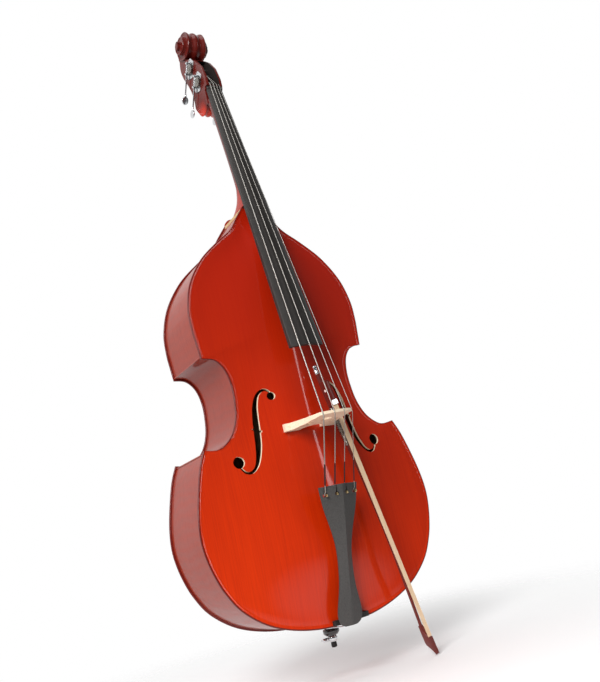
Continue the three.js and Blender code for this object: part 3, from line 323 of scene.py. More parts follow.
class Finish:
    """A material that is built up node by node."""

    def __init__(self, name, **shader):
        self.material = bpy.data.materials.new(name)
        self.material.use_nodes = True
        self.tree = self.material.node_tree
        self.shader = self.tree.nodes["Principled BSDF"]
        self.feed(shader)

    def feed(self, values):
        for name, value in values.items():
            self._put(self.shader.inputs[name], value)
        return self

    def _put(self, socket, value):
        if isinstance(value, Wire):
            self.tree.links.new(value.socket, socket)
        else:
            socket.default_value = value

    def node(self, kind, settings, values, output=0):
        """Any node: its settings first, then its sockets' values or links."""
        made = self.tree.nodes.new(kind)
        for name, value in settings.items():
            if name == "stops":
                while len(made.color_ramp.elements) < len(value):
                    made.color_ramp.elements.new(0.5)
                for element, (place, tint) in zip(made.color_ramp.elements, value):
                    element.position = place
                    element.color = tint
            else:
                setattr(made, name, value)
        for name, value in values.items():
            self._put(made.inputs[name], value)
        return Wire(self, made.outputs[output])

    def place(self, scale=(1, 1, 1)):
        """Object coordinates, stretched by scale."""
        point = self.node("ShaderNodeTexCoord", {}, {}, "Object")
        return self.node("ShaderNodeMapping", {}, {"Vector": point, "Scale": scale})

    def axis(self, name):
        """One object coordinate, in metres."""
        return self.node("ShaderNodeSeparateXYZ", {}, {"Vector": self.place()}, name)

    def noise(self, scale, detail=3, stretch=(1, 1, 1), rough=0.5):
        return self.node("ShaderNodeTexNoise", {}, {
            "Vector": self.place(stretch), "Scale": scale, "Detail": detail, "Roughness": rough})

    def wave(self, scale, distortion, stretch=(1, 1, 1), direction="X", detail=2):
        settings = {"wave_type": "BANDS", "bands_direction": direction}
        return self.node("ShaderNodeTexWave", settings, {
            "Vector": self.place(stretch), "Scale": scale, "Distortion": distortion, "Detail": detail,
            "Detail Scale": 1.5})

    def share(self, value, low, high):
        """0 at low, 1 at high."""
        return self.node("ShaderNodeMapRange", {"interpolation_type": "SMOOTHSTEP"}, {
            "Value": value, "From Min": low, "From Max": high})

    def mix(self, factor, first, second, blend="MIX"):
        settings = {"data_type": "RGBA", "blend_type": blend}
        return self.node("ShaderNodeMix", settings, {0: factor, 6: first, 7: second}, 2)

    def bump(self, height, strength, distance=0.0004):
        return self.node("ShaderNodeBump", {}, {"Height": height, "Strength": strength, "Distance": distance})


print("shader sums are ready")

# %% [markdown]
# ## Varnish
# A new bass is sprayed: a clear orange-red coat over spruce in front, and a darker one over flamed maple
# on the ribs, back and neck. The grain shows faintly through it, and the coat itself is smooth and glossy.

# %% Varnish finishes


def spruce_varnish():
    f = Finish("varnish_front", Roughness=0.3)
    grain = f.noise(3.2, 4, (260, 1, 2.2), 0.6)
    broad = f.noise(4.5, 3, (2.4, 1, 0.5))
    height = f.share(f.axis("Z"), 0.1, 1.12)
    # Painted light and shade: the red is a brighter lit copy on the left side and a darker shaded copy on the
    # right, blended with random broad patches; both copies darken towards the top.
    painted_light_left = f.share(f.axis("X"), 0.34, -0.34)
    painted_light_red = f.mix(height, colour(228, 58, 2), colour(172, 30, 4))
    painted_shade_red = f.mix(height, colour(186, 36, 2), colour(150, 22, 4))
    painted_light_red = f.mix(0.45 * painted_light_left + 0.5 * broad, painted_shade_red, painted_light_red)
    tint = f.mix(0.35 * f.share(grain, 0.35, 0.7), painted_light_red, colour(158, 22, 3))
    f.feed({"Base Color": tint, "Roughness": 0.38 + 0.1 * grain, "Coat Weight": 0.6 + 0.15 * broad,
            "Normal": f.bump(grain, 0.05)})
    f.feed({"Coat Roughness": 0.06, "Specular IOR Level": 0.1})
    return f.material


def maple_varnish(name, light, dark, flame, painted_highlight=None):
    """Maple under varnish. The last colour, when given, is a painted highlight: a brighter tint for the
    stretch below the pegbox and, more faintly, the heel.
    """
    f = Finish(name, Roughness=0.3)
    curl = f.wave(flame, 6.0, (0.6, 0.6, 0.5), "Z", 3)
    pores = f.noise(60, 4, (3, 3, 0.25), 0.6)
    base = light
    if painted_highlight:
        # Painted highlight masks: full at the chin below the pegbox, 0.6 on the heel.
        chin = f.share(f.axis("Z"), 1.58, 1.53) * f.share(f.axis("Y"), -0.022, 0.0)
        heel = f.share(f.axis("Z"), 1.27, 1.19)
        base = f.mix(chin + 0.6 * heel, light, painted_highlight)
    tint = f.mix(0.14 * curl, base, dark)
    tint = f.mix(0.22 * f.share(pores, 0.45, 0.7), tint, dark)
    f.feed({"Base Color": tint, "Roughness": 0.4 + 0.12 * pores, "Coat Weight": 0.4 + 0.1 * curl,
            "Normal": f.bump(pores, 0.04)})
    f.feed({"Coat Roughness": 0.08, "Specular IOR Level": 0.15})
    return f.material


def bare_wood(name, light, dark, stretch):
    f = Finish(name)
    grain = f.noise(5, 4, stretch, 0.6)
    blotch = f.noise(14, 3)
    tint = f.mix(0.7 * f.share(grain, 0.35, 0.7), light, dark)
    tint = f.mix(0.2 * blotch, tint, dark)
    f.feed({"Base Color": tint, "Roughness": 0.5 + 0.2 * grain, "Normal": f.bump(grain, 0.15)})
    return f.material


FRONT_VARNISH = spruce_varnish()
RIB_VARNISH = maple_varnish("varnish_ribs", colour(146, 46, 24), colour(98, 22, 10), 26)
BACK_VARNISH = maple_varnish("varnish_back", colour(158, 44, 20), colour(104, 22, 10), 30)
# The neck's last colour is its painted highlight at the chin and heel.
NECK_VARNISH = maple_varnish("varnish_neck", colour(96, 20, 12), colour(56, 10, 8), 34, colour(196, 44, 14))
EDGE_VARNISH = maple_varnish("varnish_edge", colour(104, 18, 8), colour(70, 10, 6), 30)
SPRUCE = bare_wood("bare_spruce", colour(206, 176, 130), colour(160, 120, 78), (180, 30, 3))
MAPLE = bare_wood("bare_maple", colour(252, 234, 208), colour(232, 200, 162), (8, 90, 60))
print("wood finishes:", len(bpy.data.materials))

# %% [markdown]
# ## Blacks, metals and hair
# The board and tailpiece are satin black, and read dark grey in soft light. The machines are bright
# plated steel with duller gears, and the bow is dark wood with pale hair.

# %% Other finishes


def satin_black(name, light, dark, rough, stretch):
    f = Finish(name)
    grain = f.noise(6, 4, stretch, 0.6)
    scuff = f.noise(22, 4)
    tint = f.mix(f.share(grain, 0.3, 0.75), light, dark)
    f.feed({"Base Color": tint, "Roughness": rough + 0.12 * scuff, "Normal": f.bump(grain, 0.08)})
    return f.material


def metal(name, tint, rough, worn):
    f = Finish(name, Metallic=1.0)
    cloud = f.noise(70, 3)
    lines = f.noise(8, 2, (10, 10, 240))
    f.feed({"Base Color": f.mix(0.4 * f.share(cloud, 0.4, 0.75), tint, worn),
            "Roughness": rough + 0.1 * lines, "Normal": f.bump(lines, 0.03)})
    return f.material


def wound_wire(name, tint, dark, turns):
    """Flat wire wound round a core: fine bands across the length."""
    f = Finish(name, Metallic=0.9)
    bands = f.wave(turns, 0.0, (0, 0, 1), "Z", 0)
    f.feed({"Base Color": f.mix(bands, tint, dark), "Roughness": 0.42 + 0.1 * bands,
            "Normal": f.bump(bands, 0.15, 0.0001)})
    return f.material


def plain_polish(name, tint, other, rough, coat):
    f = Finish(name)
    speck = f.noise(120, 3)
    f.feed({"Base Color": f.mix(0.5 * speck, tint, other), "Roughness": rough + 0.08 * speck,
            "Coat Weight": coat, "Normal": f.bump(speck, 0.02)})
    return f.material


def silk_thread():
    f = Finish("string_silk")
    bands = f.wave(420, 0.4, (0, 0, 1), "Z", 1)
    f.feed({"Base Color": f.mix(bands, colour(52, 18, 24), colour(24, 10, 14)), "Roughness": 0.75,
            "Normal": f.bump(bands, 0.6)})
    return f.material


def horsehair():
    f = Finish("bow_horsehair")
    strands = f.noise(9, 3, (260, 40, 2), 0.7)
    f.feed({"Base Color": f.mix(f.share(strands, 0.3, 0.7), colour(244, 218, 186), colour(214, 176, 136)),
            "Roughness": 0.55 + 0.1 * strands, "Normal": f.bump(strands, 0.4)})
    return f.material


def shell():
    f = Finish("bow_shell")
    swirl = f.noise(160, 4, (1, 1, 1), 0.7)
    stops = [(0.3, colour(214, 226, 220)), (0.5, colour(244, 240, 232)), (0.7, colour(220, 206, 216))]
    f.feed({"Base Color": f.node("ShaderNodeValToRGB", {"stops": stops}, {"Fac": swirl}),
            "Roughness": 0.15 + 0.1 * swirl, "Coat Weight": 0.8})
    return f.material


EBONY = satin_black("ebony", colour(40, 36, 33), colour(26, 23, 21), 0.44, (90, 90, 4))
TAIL_BLACK = satin_black("tail_satin", colour(70, 68, 66), colour(56, 54, 53), 0.46, (60, 60, 40))
NICKEL = metal("bright_nickel", colour(226, 228, 230), 0.12, colour(188, 190, 192))
GEAR_STEEL = metal("gear_steel", colour(150, 146, 140), 0.3, colour(104, 100, 96))
BALL_BRASS = metal("ball_brass", colour(214, 190, 140), 0.25, colour(160, 136, 90))
STRING_STEEL = wound_wire("string_winding", colour(206, 202, 196), colour(120, 116, 110), 900)
GRIP_WIRE = metal("grip_wire", colour(200, 198, 192), 0.22, colour(120, 116, 110))
GLOSS_BLACK = plain_polish("collar_black", colour(20, 18, 18), colour(34, 30, 30), 0.12, 1.0)
RUBBER = plain_polish("tip_rubber", colour(26, 25, 25), colour(38, 36, 36), 0.75, 0.0)
BOW_WOOD = maple_varnish("bow_wood", colour(104, 34, 28), colour(70, 22, 18), 40)
# Near-black painted shade for the cut faces inside the pegbox pocket.
POCKET_SHADE = plain_polish("pocket_painted_shade", colour(28, 18, 14), colour(16, 10, 8), 0.6, 0.0)
SILK = silk_thread()
HAIR = horsehair()
PEARL = shell()
print("all finishes:", len(bpy.data.materials))

# %% [markdown]
# ## The plates
# A plate is carved from thick wood. It is flat at the rim, dips a little, and then rises to the arch.
# The outline is three curves a side that meet at the corners. From each outline point a ray runs in to
# the body's spine, and the arch height depends only on how far along that ray a point lies.

# %% Outline and arching
LOWER = [(0, 0), (75, 3.5), (150, 20), (215, 48), (270, 92), (302, 140), (320, 184), (331, 228),
         (334.5, 268), (330, 315), (318, 370), (302, 425), (284.5, 464)]
WAIST = [(284.5, 464), (250, 460), (227, 469), (202, 493), (185, 530), (178, 570), (177, 615),
         (187, 656), (210, 682), (243, 688)]
UPPER = [(243, 688), (247, 725), (251, 765), (250, 820), (231, 887), (187, 953), (131, 1003),
         (82, 1040), (54, 1078), (31, 1108)]
SPINE = [190, 330, 760, 960]
FRONT_ARCH, BACK_ARCH, MARGIN = 29, 24, 14
BEND_FROM, BEND_SPAN, BEND_SLOPE = 690, 160, 0.22


def half_outline(counts):
    """Outline points of the right half, each with the spine height that its ray runs to."""
    found = []
    for run, count, low, high in zip((LOWER, WAIST, UPPER), counts, SPINE, SPINE[1:]):
        for i, p in enumerate(spline(run, count)):
            if i or not found:
                found.append((p.x, p.y, lerp(low, high, i / count)))
    return found


def back_bend(z):
    into = clamp(z - BEND_FROM, 0, BEND_SPAN)
    return BEND_SLOPE * (into * into / (2 * BEND_SPAN) + max(0, z - BEND_FROM - BEND_SPAN))


right = half_outline((60, 52, 48))
around = right + [(-x, z, s) for x, z, s in reversed(right[1:])]
RIM = [(1.6, -4.0), (0.5, -3.5), (0.0, -2.4), (0.0, 0.7), (0.5, 1.9), (1.6, 2.5), (3.4, 2.5),
       (6.0, 1.9), (9.5, 1.5), (12.0, 1.7)]
ARCH_STEPS = 18


def plate_shape(face_y, outward, arch):
    """The rim's rings and then the arch's, on the inner side and back out over the outer one."""
    def ring(offset, k, rise):
        points = []
        for x, z, s in around:
            length = math.hypot(x, z - s)
            flat = min(0.5, offset / length)
            share = flat + (1 - flat) * k
            zz = lerp(z, s, share)
            height = rise + arch * math.sin(math.pi * k / 2) ** 2
            points.append(at(x * (1 - share), face_y(zz) + outward * height, zz))
        return points
    inside = [ring(MARGIN, k / ARCH_STEPS, -4.0) for k in range(ARCH_STEPS, -1, -1)]
    rim = [ring(d, 0, rise) for d, rise in RIM]
    outside = [ring(MARGIN, k / ARCH_STEPS, 2.5 - 0.5 * (1 - min(1, 3 * k / ARCH_STEPS)))
               for k in range(ARCH_STEPS + 1)]
    shape = loft(inside + rim + outside, caps=False)
    bands = [2] * ARCH_STEPS + [1] * (len(RIM) - 1) + [0] * (ARCH_STEPS + 2)
    bands[ARCH_STEPS + len(RIM) - 3:ARCH_STEPS + len(RIM) - 1] = [0, 0]
    return shape, [bands[min(i // len(around), len(bands) - 1)] for i in range(len(shape[1]))]


print("outline points:", len(around), "rim profile:", len(RIM))

# %% F-holes and front plate
F_STEM = [(83, 581), (93, 589), (104, 588), (117, 577), (127, 553), (133, 520), (137, 487),
          (142, 455), (151, 424), (163, 402), (178, 392), (192, 395), (201, 407)]
F_WIDTH = [5, 6, 7, 10, 14, 17, 18, 17, 13, 9, 7, 6, 5]
F_EYES = [(82, 571, 10.5), (203, 421, 14.5)]
F_NICKS = [[(124, 489), (150, 498), (149, 494), (125, 484)]]


def circle(x, z, r, count=40):
    turn = [2 * math.pi * k / count for k in range(count)]
    return [(x + r * math.cos(a), z + r * math.sin(a)) for a in turn]


def f_loops(side):
    line = [Vector(catmull(F_STEM, i / 60)) for i in range(61)]
    left, right_edge = [], []
    for i, p in enumerate(line):
        along = (line[min(i + 1, 60)] - line[max(i - 1, 0)]).normalized()
        half = catmull([(w,) for w in F_WIDTH], i / 60)[0] / 2
        left.append((side * (p.x - along.y * half), p.y + along.x * half))
        right_edge.append((side * (p.x + along.y * half), p.y - along.x * half))
    loops = [left + right_edge[::-1]]
    loops += [circle(side * x, z, r) for x, z, r in F_EYES]
    loops += [[(side * x, z) for x, z in nick] for nick in F_NICKS]
    return loops


def slab(loop, y0, y1):
    """A prism through the plate over one closed loop of plan points."""
    return loft([[at(x, y0, z) for x, z in loop], [at(x, y1, z) for x, z in loop]])


front_shape, front_picks = plate_shape(lambda z: 0, -1, FRONT_ARCH)
front = skin("front_plate", front_shape, [FRONT_VARNISH, EDGE_VARNISH, SPRUCE], 50, front_picks)
for hand in (-1, 1):
    for number, loop in enumerate(f_loops(hand)):
        front = carved(front, skin(f"f_cutter_{number}", slab(loop, -60, 40), [MAPLE]))
placed(front, "instrument", "varnished_front", "top_plate")
front_surface = BVHTree.FromPolygons(
    [v.co.copy() for v in front.data.vertices], [tuple(p.vertices) for p in front.data.polygons])


def front_at(x, z):
    """Depth of the front's outer face behind its edge plane, at a plan point."""
    hit = front_surface.ray_cast(at(x, -200, z) * MM, Vector((0, 1, 0)))[0]
    return hit.y / MM - FRONT


print("front plate faces:", len(front.data.polygons), "crown depth:", round(front_at(0, 480), 1))

# %% Back plate with its button
back_shape, back_picks = plate_shape(lambda z: BACK - FRONT - back_bend(z), 1, BACK_ARCH)
button_arc = [(29 * math.cos(math.pi * k / 24), 1104 + 29 * math.sin(math.pi * k / 24)) for k in range(25)]
button_y = BACK - FRONT - back_bend(1108)
button = slab(button_arc, button_y - 2.6, button_y + 2.4)
back = skin("back_plate_fine", together(back_shape, button), [BACK_VARNISH, EDGE_VARNISH, SPRUCE], 50,
            back_picks + [0] * len(button[1]))
placed(back, "instrument", "varnished_maple", "back_plate")
print("back plate faces:", len(back.data.polygons))

# %% [markdown]
# ## Ribs
# The ribs are thin maple strips, bent on a hot iron and glued in from the plates' edge. Each strip runs
# from corner to corner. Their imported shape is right, so they follow the same inset with more points.

# %% Ribs
RIB_IN, RIB_THICK, RIB_STEPS = 5, 3, 420


def inset(run, distance):
    moved = []
    for i, p in enumerate(run):
        along = (run[min(i + 1, len(run) - 1)] - run[max(i - 1, 0)]).normalized()
        moved.append(Vector((p.x - along.y * distance, p.y + along.x * distance)))
    return moved


def rib(name, run, side):
    node = f"rib_{name}_{'left' if side < 0 else 'right'}"
    low, high = (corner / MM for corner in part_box(node))
    faces = [inset(spline(run, RIB_STEPS), d) for d in (RIB_IN, RIB_IN + RIB_THICK)]
    reach = (low.x, high.x) if side > 0 else (-high.x, -low.x)
    rings = []
    for outer, inner_point in zip(*faces):
        if not (reach[0] - 0.4 <= outer.x <= reach[1] + 0.4):
            continue
        if not (low.z - FOOT - 0.4 <= outer.y <= high.z - FOOT + 0.4):
            continue
        corners = []
        for p, front_edge in ((outer, True), (outer, False), (inner_point, False), (inner_point, True)):
            y = 4.2 if front_edge else BACK - FRONT - 4.2 - back_bend(p.y)
            corners.append(at(side * p.x, y, p.y))
        rings.append(corners)
    made = skin(f"{node}_fine", loft(rings), [RIB_VARNISH], 40)
    return placed(made, "instrument", "varnished_maple", node)


for hand in (-1, 1):
    for word, curve in (("lower", LOWER), ("waist", WAIST), ("upper", UPPER)):
        rib(word, curve, hand)
print("six ribs bent")

# %% [markdown]
# ## Inside
# Linings, blocks, bass bar and sound post are bare spruce. They barely show through the f-holes,
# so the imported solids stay, with softened edges and bare wood.

# %% Bare inner parts and other kept solids


def kept(node, finish, width=0.6):
    solid = frame["nodes"][node]
    solid.data.materials.clear()
    solid.data.materials.append(finish)
    weld = solid.modifiers.new("weld", "WELD")
    weld.merge_threshold = 0.00002
    return bevelled(solid, width)


inner_nodes = ["top_lining", "back_lining", "bottom_block", "top_block", "bass_bar", "sound_post"]
inner_nodes += [f"{place}_corner_block_{hand}" for place in ("lower", "upper") for hand in ("left", "right")]
for inner_node in inner_nodes:
    kept(inner_node, SPRUCE)
kept("saddle", EBONY, 1.5)
kept("nut", EBONY, 0.8)
print("kept solids:", len(inner_nodes) + 2)

# %% [markdown]
# ## Fingerboard
# The board is round across, with a flat facet under the thickest string so that it has room to swing.
# It is solid over the neck and hollowed underneath where it hangs over the front.

# %% Fingerboard
NUT_Z, BOARD_END = 1523, 667
BOARD_CROWN, BOARD_HALF, BOARD_SAG, BOARD_DEEP = (38, -124), (23, 46.5), (4.5, 13), (15, 28)
HOLLOW_FROM = 1060


def along_board(pair, z):
    return lerp(pair[0], pair[1], (NUT_Z - z) / (NUT_Z - BOARD_END))


def board_face(x, z):
    half, sag = along_board(BOARD_HALF, z), along_board(BOARD_SAG, z)
    radius = (half * half + sag * sag) / (2 * sag)
    return along_board(BOARD_CROWN, z) + radius - math.sqrt(radius * radius - x * x)


def board_ring(z):
    half = along_board(BOARD_HALF, z)
    under = along_board(BOARD_CROWN, z) + along_board(BOARD_DEEP, z)
    hollow = 13 * smoothstep(HOLLOW_FROM - z, 0, 340)
    points = [(-half, board_face(-half, z) + 2.5)]
    points += [(lerp(-0.3 * half, half, i / 28), board_face(lerp(-0.3 * half, half, i / 28), z))
               for i in range(29)]
    for i in range(21):
        k = lerp(1, -1, i / 20)
        lift = hollow * (1 - 0.9 * k * k) * smoothstep(1 - abs(k), 0.05, 0.25)
        points.append((k * half, under - lift))
    return [at(x, y, z) for x, y in points]


board = skin("fingerboard_fine", loft([board_ring(lerp(BOARD_END, NUT_Z, i / 40)) for i in range(41)]),
             [EBONY], 24)
placed(bevelled(board, 0.8), "instrument", "ebony", "fingerboard")
print("board face at its end:", round(board_face(0, BOARD_END), 1))

# %% [markdown]
# ## Neck, pegbox and scroll
# All three are one piece of maple. The shaft is lofted. The pegbox is sliced from cheek to cheek, and each
# slice's back edge is drawn in a little to carve the two flutes. The scroll is a spiral stair: at each
# angle its floor runs in from one turn's wall to the next, and each turn stands further out.

# %% Neck shaft
HEEL = 1108.4
NECK_BACK = [(HEEL, 115.5), (1113, 108), (1120, 88), (1130, 66), (1142, 50), (1160, 38), (1190, 28),
             (1300, 42), (1420, 62), (1490, 76)]
NECK_HALF = [30, 30, 29.5, 29, 28.5, 28, 29, 27, 25, 24]


def neck_ring(z, back_y, half):
    front_y = along_board(BOARD_CROWN, z) + along_board(BOARD_DEEP, z) + 0.3
    points = [(-half, front_y), (half, front_y)]
    for i in range(25):
        a = math.pi * i / 24
        depth = (back_y - front_y) * (0.15 + 0.85 * abs(math.sin(a)) ** 0.9)
        points.append((half * math.cos(a) * (0.97 if i % 24 else 1), front_y + depth))
    return [at(x, y, z) for x, y in points]


shaft_rows = [catmull([(z, y, h) for (z, y), h in zip(NECK_BACK, NECK_HALF)], i / 54) for i in range(55)]
shaft = loft([neck_ring(z, y, h) for z, y, h in shaft_rows])

# %% Pegbox
CHEEK, POCKET_HALF = 26, 18
PEG_FRONT = [(56, 1480), (56, 1524), (51, 1526), (51, 1532.4), (38, 1532.4), (38, 1556),
             (50, 1602), (74, 1640), (98, 1664)]
PEG_BACK = [(168, 1712), (175, 1694), (177, 1672), (167, 1638), (150, 1604), (138, 1570), (134, 1536),
            (136, 1510), (128, 1485), (110, 1473), (92, 1477), (76, 1486)]
POCKET = [(20, 1533), (62, 1533), (104, 1536), (118, 1552), (126, 1580), (140, 1612), (150, 1640),
          (146, 1656), (112, 1656), (60, 1652), (20, 1600)]
FLUTE = 4.5


def pegbox_slice(u):
    """The side outline at share u of the way from the middle to a cheek."""
    round_in = 2.2 * max(0, abs(u) - 0.9) / 0.1
    groove = FLUTE * math.sin(math.pi * abs(u)) ** 2
    middle_y, points = 110, []
    back = [catmull(PEG_BACK, i / 60) for i in range(61)]
    for i, (y, z) in enumerate(back):
        before, after = back[max(i - 1, 0)], back[min(i + 1, 60)]
        out = Vector((before[1] - after[1], after[0] - before[0])).normalized()
        inwards = groove * smoothstep(i, 0, 4) * smoothstep(60 - i, 0, 12) + round_in
        points.append((y - abs(out.x) * inwards * (1 if y > middle_y else -1), z + abs(out.y) * inwards
                       * (1 if z < 1500 else 0), i))
    points += [(y + round_in * 0.5, z, 61) for y, z in PEG_FRONT]
    return points


def pegbox_width(y, z):
    """The chin below the cheeks is narrower than the pegbox."""
    return CHEEK * (1 - 0.26 * smoothstep(1516 - z, 0, 26) * smoothstep(y, 62, 84))


slices = []
for step in range(41):
    u = lerp(-1, 1, step / 40)
    slices.append([at(u * pegbox_width(y, z), y, z) for y, z, _ in pegbox_slice(u)])
pegbox = skin("pegbox", loft(slices), [NECK_VARNISH], 40)
pocket_rings = [[at(side * POCKET_HALF, y, z) for y, z in POCKET] for side in (-1, 1)]
# The pocket's cut faces take the near-black painted shade.
pegbox = carved(pegbox, skin("pocket", loft(pocket_rings), [POCKET_SHADE]))
print("pegbox faces:", len(pegbox.data.polygons))

# %% Scroll
SCROLL_AT = (123, 1724)
SCROLL_R, TURN_IN, TURNS, START = 53.0, 15.4, 2.55, math.radians(-32)
EYE_HALF, THROAT_HALF = 51.5, 25.0


def scroll_radius(turn):
    return SCROLL_R - TURN_IN * turn


def scroll_half(turn):
    return lerp(THROAT_HALF, EYE_HALF, clamp((turn - 0.25) / (TURNS - 0.25), 0, 1))


def scroll_point(turn, radius, x):
    a = START + 2 * math.pi * turn
    return at(x, SCROLL_AT[0] + radius * math.cos(a), SCROLL_AT[1] + radius * math.sin(a))


def volute(side):
    """One side's stair: floor strip and wall strip at every angle, down to the rim of the eye in the middle.
    """
    per_turn = 72
    steps = int(TURNS * per_turn)
    rows = []
    for i in range(steps + 1):
        turn = i / per_turn
        nxt = turn + 1
        low = scroll_half(turn)
        high = scroll_half(min(nxt, TURNS))
        outer = scroll_radius(turn)
        inner_r = scroll_radius(nxt) if nxt < TURNS else 10.5
        scoop = 2.6
        radii = [outer - 1.4, lerp(outer, inner_r, 0.35), lerp(outer, inner_r, 0.7), inner_r + 0.6, inner_r]
        depths = [low, low - scoop * 0.8, low - scoop, low - scoop * 0.5, low]
        row = [scroll_point(turn, outer, side * (low - 1.4))]
        row += [scroll_point(turn, r, side * d) for r, d in zip(radii, depths)]
        row.append(scroll_point(turn, inner_r, side * (high - 1.4)))
        rows.append(row)
    verts = [p for row in rows for p in row]
    width = len(rows[0])
    faces = [(r * width + c, (r + 1) * width + c, (r + 1) * width + c + 1, r * width + c + 1)
             for r in range(len(rows) - 1) for c in range(width - 1)]
    return verts, faces


def scroll_band():
    """The outer wall of the first turn, with two flutes and a spine between them."""
    rings = []
    for i in range(91):
        turn = i / 72
        half = scroll_half(turn) - 1.4
        radius = scroll_radius(turn)
        row = []
        for k in range(25):
            u = lerp(-1, 1, k / 24)
            row.append(scroll_point(turn, radius - FLUTE * math.sin(math.pi * abs(u)) ** 2, u * half))
        rings.append(row)
    verts = [p for row in rings for p in row]
    faces = [(r * 25 + c, r * 25 + c + 1, (r + 1) * 25 + c + 1, (r + 1) * 25 + c)
             for r in range(len(rings) - 1) for c in range(24)]
    return verts, faces


def scroll_eye(side):
    half = scroll_half(TURNS)
    return turned([(0, half - 16), (10.5, half - 16), (10.5, half - 1.6), (9.0, half - 0.2), (0, half)], 40,
                  lambda x, y, z: at(side * z, SCROLL_AT[0] + x, SCROLL_AT[1] + y))


scroll = skin("scroll", together(volute(-1), volute(1), scroll_band(), scroll_eye(-1), scroll_eye(1)),
              [NECK_VARNISH], 38)
neck = skin("neck_shaft", shaft, [NECK_VARNISH], 40)
for carving in (neck, pegbox, scroll):
    placed(carving, "instrument", "varnished_maple")
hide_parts("neck")
print("scroll faces:", len(scroll.data.polygons))

# %% [markdown]
# ## Bridge
# The bridge is sawn from a wedge of maple, thick at the feet and thin at the crown, with a heart and two
# kidneys cut through. Its feet are fitted to the arch, so their undersides take the front's own depth.

# %% Bridge
BRIDGE_Z, BRIDGE_TOP, BRIDGE_FOOT = 482.5, -173, -33
CROWN_RADIUS, STRING_GAP, NUT_GAP = 108, 28, 10
BRIDGE_EDGE = [(0, -66), (12, -64), (24, -55), (30, -44), (30, -30), (75, -27), (75.5, -38), (62, -42.5),
               (57, -60), (52, -84), (48, -98), (50, -118), (47, -134), (46, -162)]
KIDNEY = [(26, -74), (40, -80), (42, -97), (36, -108), (33, -98), (30, -88)]
HEART = [(0, -98), (11, -106), (13, -122), (5, -130), (0, -124), (-5, -130), (-13, -122), (-11, -106)]


def crown(x):
    return BRIDGE_TOP + CROWN_RADIUS - math.sqrt(CROWN_RADIUS ** 2 - x * x)


def rounded(loop, count=40):
    return [tuple(p) for p in spline([*loop, loop[0]], count)[:-1]]


def bridge_point(x, y, w):
    thick = lerp(19, 6.5, (BRIDGE_FOOT - y) / (BRIDGE_FOOT - BRIDGE_TOP))
    z = BRIDGE_Z + w * thick
    return at(x, min(y, front_at(x, z) - 0.3) if y > -37 else y, z)


bridge_half = BRIDGE_EDGE + [(x, crown(x)) for x in range(44, 0, -4)]
bridge_loop = bridge_half + [(-x, y) for x, y in reversed(bridge_half) if x > 0]
kidneys = [rounded([(side * x, y) for x, y in KIDNEY]) for side in (-1, 1)]
bridge = skin("bridge_fine", sheet_cut(bridge_loop, [*kidneys, rounded(HEART)], 1, 0.06, bridge_point),
              [MAPLE], 40)
placed(bridge, "instrument", "bare_maple", "bridge")
print("bridge faces:", len(bridge.data.polygons))

# %% [markdown]
# ## Tailpiece
# The tailpiece is a narrow black plank with a ridge down its face. Four holes near the top take the
# strings' ball ends, and a slot leads each string up and over the edge.

# %% Tailpiece
TAIL_TOP, TAIL_LEAN = 318, math.radians(2)
TAIL = [(318, 56, -91, -113), (268, 47, -81, -101), (204, 28, -68, -84), (155, 20.5, -57, -70),
        (92, 22.5, -43, -54), (29, 34, -29, -40), (5, 30, -25, -35), (-4, 17, -24.5, -32)]


def leaned(x, y, z):
    drop = TAIL_TOP - z
    return at(x * math.cos(TAIL_LEAN) - drop * math.sin(TAIL_LEAN), y,
              TAIL_TOP - drop * math.cos(TAIL_LEAN) - x * math.sin(TAIL_LEAN))


def tail_ring(row):
    z, half, edge, ridge = row
    under = edge + 4.5
    face = []
    for k in range(13):
        u = lerp(-1, 1, k / 12)
        face.append((u * half, lerp(ridge, edge, abs(u))))
    section = face + [(half * 0.96, under), (half * 0.3, under), (-half * 0.3, under), (-half * 0.96, under)]
    return [leaned(x, y, z) for x, y in section]


tail = skin("tailpiece_fine", loft([tail_ring(catmull(TAIL, i / 48)) for i in range(49)]), [TAIL_BLACK], 24)
for place in (-1.5, -0.5, 0.5, 1.5):
    x = place * STRING_GAP
    key_hole = circle(x, TAIL_TOP - 20, 4.4, 28)
    key_slot = [(x - 1.7, TAIL_TOP - 18), (x + 1.7, TAIL_TOP - 18),
                (x + 1.7, TAIL_TOP + 6), (x - 1.7, TAIL_TOP + 6)]
    for loop in (key_hole, key_slot):
        rings = [[leaned(u, y, v) for u, v in loop] for y in (-135, -70)]
        carved(tail, skin("tail_cutter", loft(rings), [TAIL_BLACK]))
placed(bevelled(tail, 0.7), "instrument", "satin_black", "tailpiece")



def tail_face(x, z):
    """Depth of the tailpiece's face."""
    share = clamp((TAIL_TOP - z) / (TAIL_TOP - TAIL[1][0]), 0, 1)
    half, edge, ridge = (lerp(TAIL[0][k], TAIL[1][k], share) for k in (1, 2, 3))
    return lerp(ridge, edge, abs(x) / half)


for number, drop in enumerate((7, 30)):
    bar = [[leaned(x, tail_face(x, TAIL_TOP - drop) + dy, TAIL_TOP - drop + dz)
            for dy, dz in ((0.8, 0), (-0.7, 0.4), (-0.7, 1.6), (0.8, 2))] for x in range(-46, 47, 2)]
    placed(skin(f"tailpiece_bar_{number}", loft(bar), [TAIL_BLACK], 30), "instrument", "satin_black")
print("tailpiece faces:", len(tail.data.polygons))

# %% [markdown]
# ## Strings
# Each string is a steel core wound with flat wire. The last stretch by the tailpiece is wrapped in silk
# thread, and the ball end sits under its hole. At the other end it passes the nut and dives into the pegbox.

# %% Strings and tail wire
STRING_RADIUS = {"e": 1.5, "a": 1.25, "d": 1.0, "g": 0.8}
SILK_FROM, SILK_TO = 14, 54


